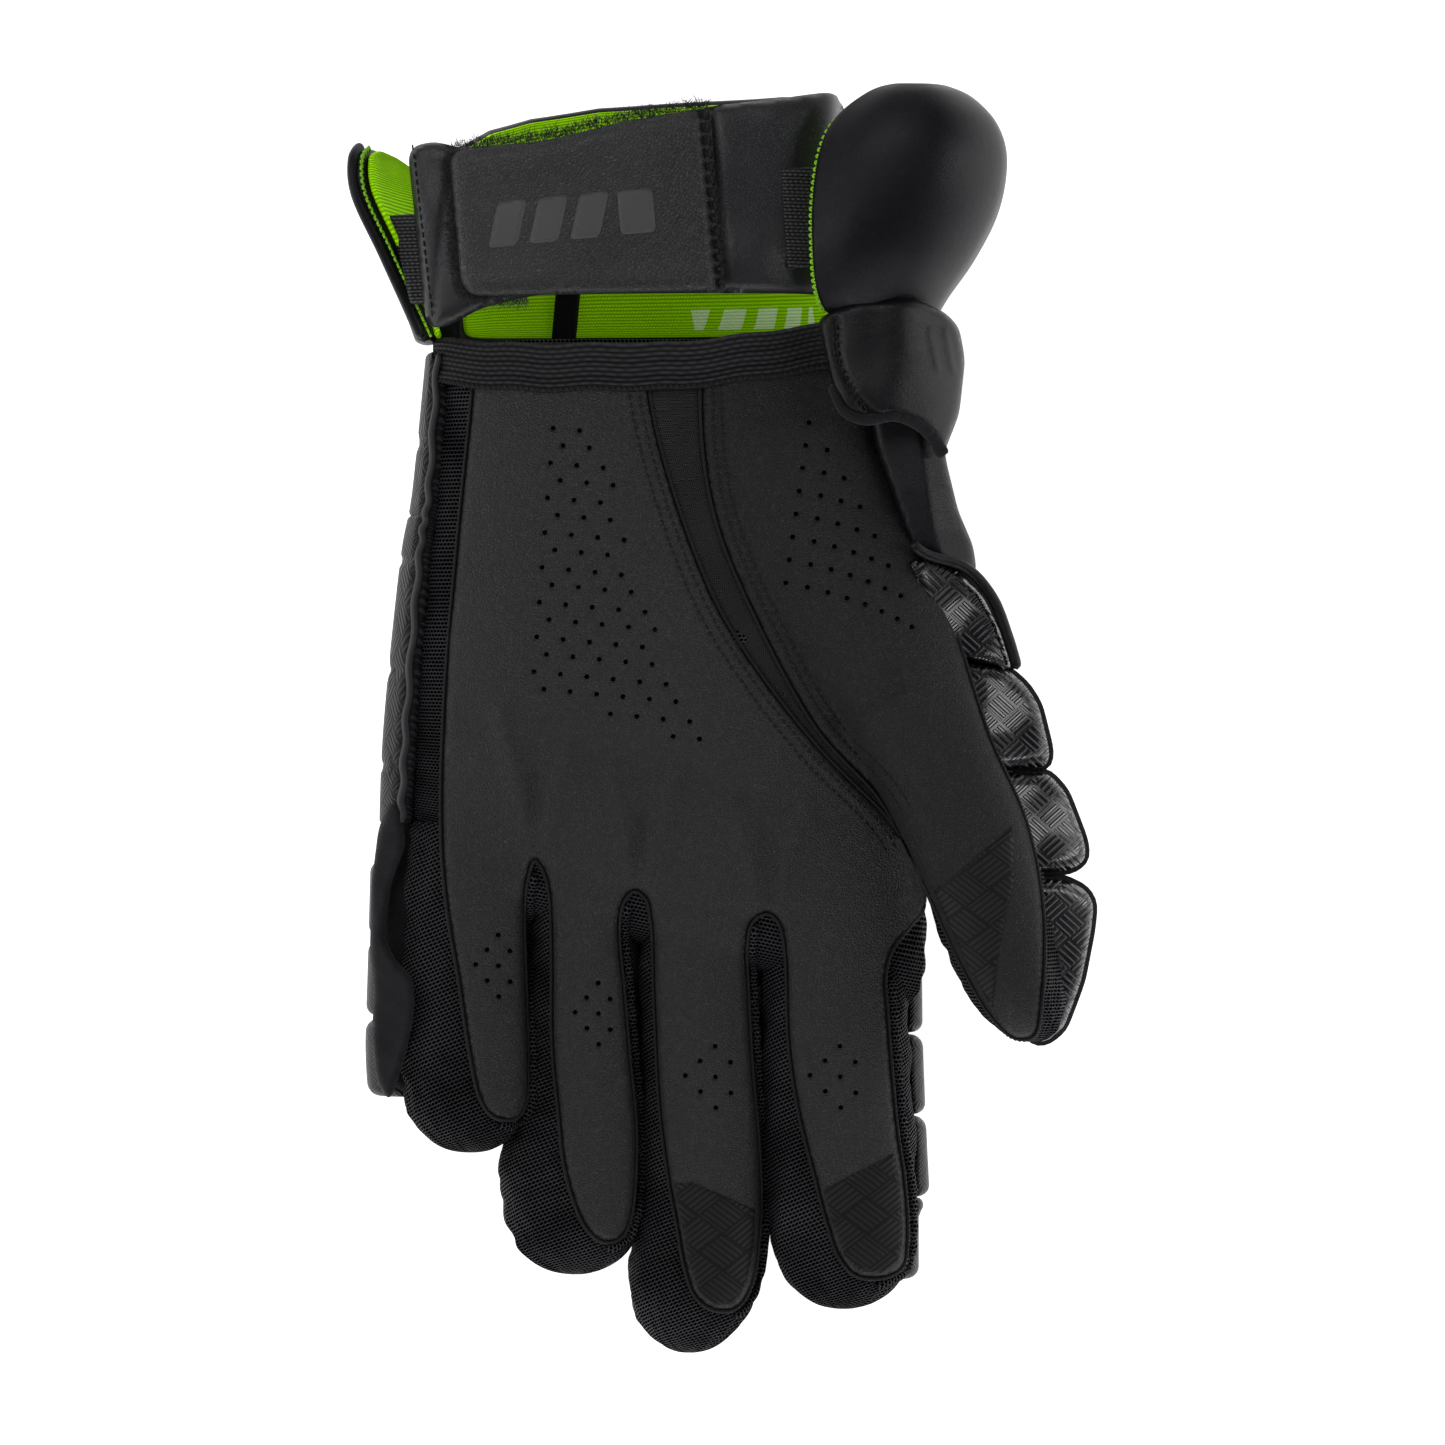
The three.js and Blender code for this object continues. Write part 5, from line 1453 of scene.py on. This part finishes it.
strap_height, tab_height = across_rows(WRIST_STRAP), across_rows(STRAP_TAB)
strap_outline, tab_outline = rounded(STRAP_OUTLINE, 2.0), rounded(TAB_OUTLINE, 1.6)

points, triangles, away = cut_from(strap_outline, 1.2)
x, y = points.T
middle, swell = strap_height(x, y), 2.2 * rounding(away, 4.5)
puff = 0.5 * np.clip(away / 12, 0, 1) + 0.25 * creases(x, y, 16, 3) * np.clip(away / 6, 0, 1)
valleys = 0.8 * bell(x + 74.6 - 0.115 * (y - 104), 0.8) + 1.2 * bell(x - groove_x(y), 1.5)
piece = put("strap_foam", slab(points, triangles, middle + swell + puff - valleys, middle - swell))
dress(piece, STRAP_FILM, "coated", "wrist_strap")

points, triangles, away = cut_from(tab_outline, 0.9)
x, y = points.T
middle, rise = tab_height(x, y), 1.9 * rounding(away, 4.0)
valley = 2.4 * bell(x - groove_x(y) + 1.2, 1.5) * (1 + 0.3 * np.sin(y * 2 * math.pi / 3.3))
top = middle + rise - valley + 0.3 * creases(x, y, 22, 5) * np.clip(away / 8, 0, 1)
piece = put("tab_foam", slab(points, triangles, top, middle - rise))
dress(piece, TAB_FILM, "coated", "strap_tab")

PANELS = [  # three slanted bars and a rounded square, pressed into the tab
    [(-60, 121.5), (-52.5, 122.2), (-50, 134), (-57.5, 133.3)],
    [(-49.5, 122.5), (-42, 123.2), (-39.5, 135), (-47, 134.3)],
    [(-39, 123.5), (-31.5, 124.2), (-29, 136), (-36.5, 135.3)],
    [(-26, 124.8), (-17, 125.6), (-18, 136.8), (-27, 136)],
]
PANEL_FILM = plain_film("pale panel film", (0.05, 0.052, 0.05), roughness=0.5)
panels = []
for outline in PANELS:
    points, triangles, away = cut_from(rounded(outline, 0.8), 1.2)
    level = tab_height(*points.T) + 1.75 + 0.3 * creases(*points.T, 22, 5)
    panels.append(slab(points, triangles, level + 0.25, level - 0.4))
dress(put("tab_panels", *panels), PANEL_FILM, "coated")


def strands(roots, heading, length, thick, seed):
    """Short curved hairs as one patch: three rings of three, from each root along its heading, each bent at
    random."""
    draw = np.random.default_rng(seed)
    count = len(roots)
    bend = draw.normal(0, 0.9, (count, 3))
    reach = length * draw.uniform(0.5, 1.2, (count, 1))
    tips = roots + (heading + bend) * reach
    knees = roots + (heading + 0.2 * bend) * reach * 0.5 + draw.normal(0, 0.3, (count, 3))
    line = np.stack([roots, knees, tips], axis=1)
    turn = np.linspace(0, 2 * math.pi, 4)
    ring = np.column_stack([np.cos(turn), np.sin(turn), 0.5 * np.sin(turn)])
    radius = thick * np.array([1, 0.8, 0.3])
    grid = line[:, :, None] + radius[None, :, None, None] * ring[None, None]
    return grid.reshape(-1, 3), grid_quads(grid.shape[:3]), np.zeros((grid[..., 0].size, 2))


FUZZ = brushed("loop fuzz", 0.7, 0.3, 0.8, 2.0, (0.003, 0.003, 0.004), (0.06, 0.06, 0.065))[0]

draw = np.random.default_rng(11)
fuzz_path = part_of(tab_outline, (-3, 159), (-50, 109.4))
pick = draw.integers(1, len(fuzz_path) - 1, 3000)
out = offset(fuzz_path, 1.0) - fuzz_path
roots = fuzz_path[pick] + out[pick] * draw.uniform(-0.5, 1.9, (3000, 1)) + draw.normal(0, 0.25, (3000, 2))
level = strap_height(*roots.T) + 2.3 + draw.uniform(0, 1.2, 3000)
heading = np.column_stack([out[pick], draw.uniform(0.2, 1.2, 3000)])
hairs = strands(np.column_stack([roots, level]), heading, 1.1, 0.08, 12)
dress(put("tab_fuzz", hairs), FUZZ, "coated")

wing = np.column_stack([np.linspace(-74.6, -79.8, 80), np.linspace(104, 149, 80)])
groove = np.column_stack([np.linspace(0.4, -4.6, 90), np.linspace(111, 157.5, 90)])
line, up = over(wing, lambda x, y: strap_height(x, y) + 1.9)
seam = stitches(line, up, pitch=2.3, length=1.7, thick=0.25)
line, up = over(groove, lambda x, y: tab_height(x, y) + 0.6)
groove_seam = stitches(line, up, pitch=3.3, length=2.8, thick=0.6)
dress(put("strap_stitching", seam, groove_seam), THREAD, "coated")


# Elastics
# Ribbed knitted elastic joins the strap to the cuff on both sides.

ELASTICS = {  # outlines in plan
    "elastic_little_side": [(-87, 131), (-86, 130), (-80.5, 107.8), (-73, 108), (-74, 131.5)],
    "elastic_thumb_side": [(14.9, 142.4), (24.5, 143.3), (26, 118), (16.6, 116.4)],
}
ELASTIC = knit_band("ribbed elastic", 0.9, 1.4, light=(0.075, 0.075, 0.08))


def elastic_height(x, y):
    """On the strap at the thumb's side, and from the strap down to the lining at the little finger's side."""
    return np.where(x > 0, strap_height(x, y) + 2.1, 55 + 0.35 * (x + 86))


def elastic_relief(x, y):
    """Cords along the elastic, 1.3 millimetres apart, and a firmer bar at both ends."""
    middle, half = np.where(x > 0, 130, 119.3), np.where(x > 0, 11.2, 9.6)
    bar = soft_step(half - np.abs(y - middle), 4)
    return 0.6 * np.abs(np.sin((x + 0.12 * (y - 130)) * math.pi / 1.3)) * (1 - bar) + 1.0 * bar


for node, outline in ELASTICS.items():
    knit = pillow(outline, 0.8, elastic_height, 0.8, 0.6, 0.7, step=0.45, relief=elastic_relief)
    dress(put(f"{node}_knit", knit), ELASTIC, "webbing", node)


# Guards
# Two foam guards stand beside the wrist, in smooth film, lined with green ribbed cloth whose edge is
# serged in green thread.

THUMB_GUARD = [
    [105, 0, (26.5, 57.5), (34, 60), (44, 57.5), (51.5, 48), (53, 36)],
    [112, 0, (24.2, 62.5), (34, 66), (46, 63), (55, 52), (57, 37)],
    [122, 0, (23.2, 66), (34.5, 71), (50, 69), (61.5, 56), (64, 38)],
    [134, 0, (23.2, 67), (37, 73.5), (55, 72), (67.5, 57), (70, 36)],
    [146, 0, (25, 67), (39, 74), (57, 73), (69.5, 58), (72, 38)],
    [154, 0, (29, 66), (41, 72.5), (56, 72), (67, 60), (69.5, 45)],
    [159.5, 0, (36.5, 66), (44, 70), (53.5, 69.5), (61, 62), (63.5, 54)],
    [162, 0, (43.5, 65.5), (47, 67), (51, 66.6), (54.5, 63), (56.5, 59)],
]
LITTLE_GUARD = [
    [99, 0, (-76.5, 50), (-77.5, 38), (-76.5, 25)], [110, 0, (-81.5, 54), (-80.5, 38), (-77.5, 23)],
    [122, 0, (-87, 57), (-83.5, 38), (-78.5, 21)], [136, 0, (-93.5, 59), (-87.5, 38), (-79.5, 20)],
    [145, -0.25, (-94.5, 57), (-88.5, 38), (-80.5, 21)], [149.5, -0.4, (-92.5, 51), (-88.5, 38), (-82, 25)],
]
GUARD_FILM = plain_film("guard film", (0.0035, 0.0035, 0.0055), roughness=0.38, level=0.16)
GREEN_THREAD = twisted_thread("green serging thread", 0.5, 0.4, (0.14, 0.36, 0.002), (0.36, 0.8, 0.01))


def beside(surface, depth, reach):
    """The inner side of a surface, at a depth under it, from near one edge to a share of the way across."""
    def inner(s, t):
        place, out = edge_of(surface, 0.02 + (reach - 0.02) * s, 0.02 + 0.96 * t)
        return place - depth * out
    return inner


def sheet_size(surface):
    """The width and length, in metres, of the flat cloth that a curved surface is cut from."""
    grid = surface(*np.meshgrid(np.linspace(0, 1, 33), np.linspace(0, 1, 33)))
    width = np.mean([length_of(row) for row in grid])
    length = np.mean([length_of(column) for column in grid.swapaxes(0, 1)])
    return 1.1 * float(width) * MM, 1.1 * float(length) * MM


for node, rows, about, reach in (("thumb_guard", THUMB_GUARD, 0.0, 0.6),
                                 ("little_guard", LITTLE_GUARD, -93.5, 0.9)):
    surface = sheet_surface(rows, about)
    piece = put(f"{node}_foam", *padded(surface, 5, 2.5, step=1.4, corner=10))
    dress(piece, GUARD_FILM, "coated", node)
    lining = beside(surface, 3.6, reach)
    cloth = put(f"{node}_lining_cloth", *padded(lining, 1.4, 0.7, step=1.4, corner=10, side=-1))
    dress(cloth, GREEN_RIBS, "lining", f"{node}_lining")
    along = np.linspace(0.03, 0.97, 200)
    line, up = edge_of(surface, np.full(200, 0.012), along)
    if node == "thumb_guard":
        over_top, top_up = edge_of(surface, np.linspace(0.02, 0.5, 90), np.full(90, 0.985))
        line, up = np.vstack([line + [-0.9, 0, 1.0], over_top + [0, 1.2, 1.0]]), np.vstack([up, top_up])
    else:
        dress(put(f"{node}_rim", sweep(line + up * 0.9, up, 2.0, 1.5)), GUARD_FILM, "coated")
        line = line + [1.4, 0, 1.2]
    serging = stitches(line, up, pitch=0.85, length=2.2, thick=0.36, lean=1.15)
    dress(put(f"{node}_serging", serging), GREEN_THREAD, "lining")
    sheet_size(lining)


# Last, the view layer is brought up to date.

bpy.context.view_layer.update()
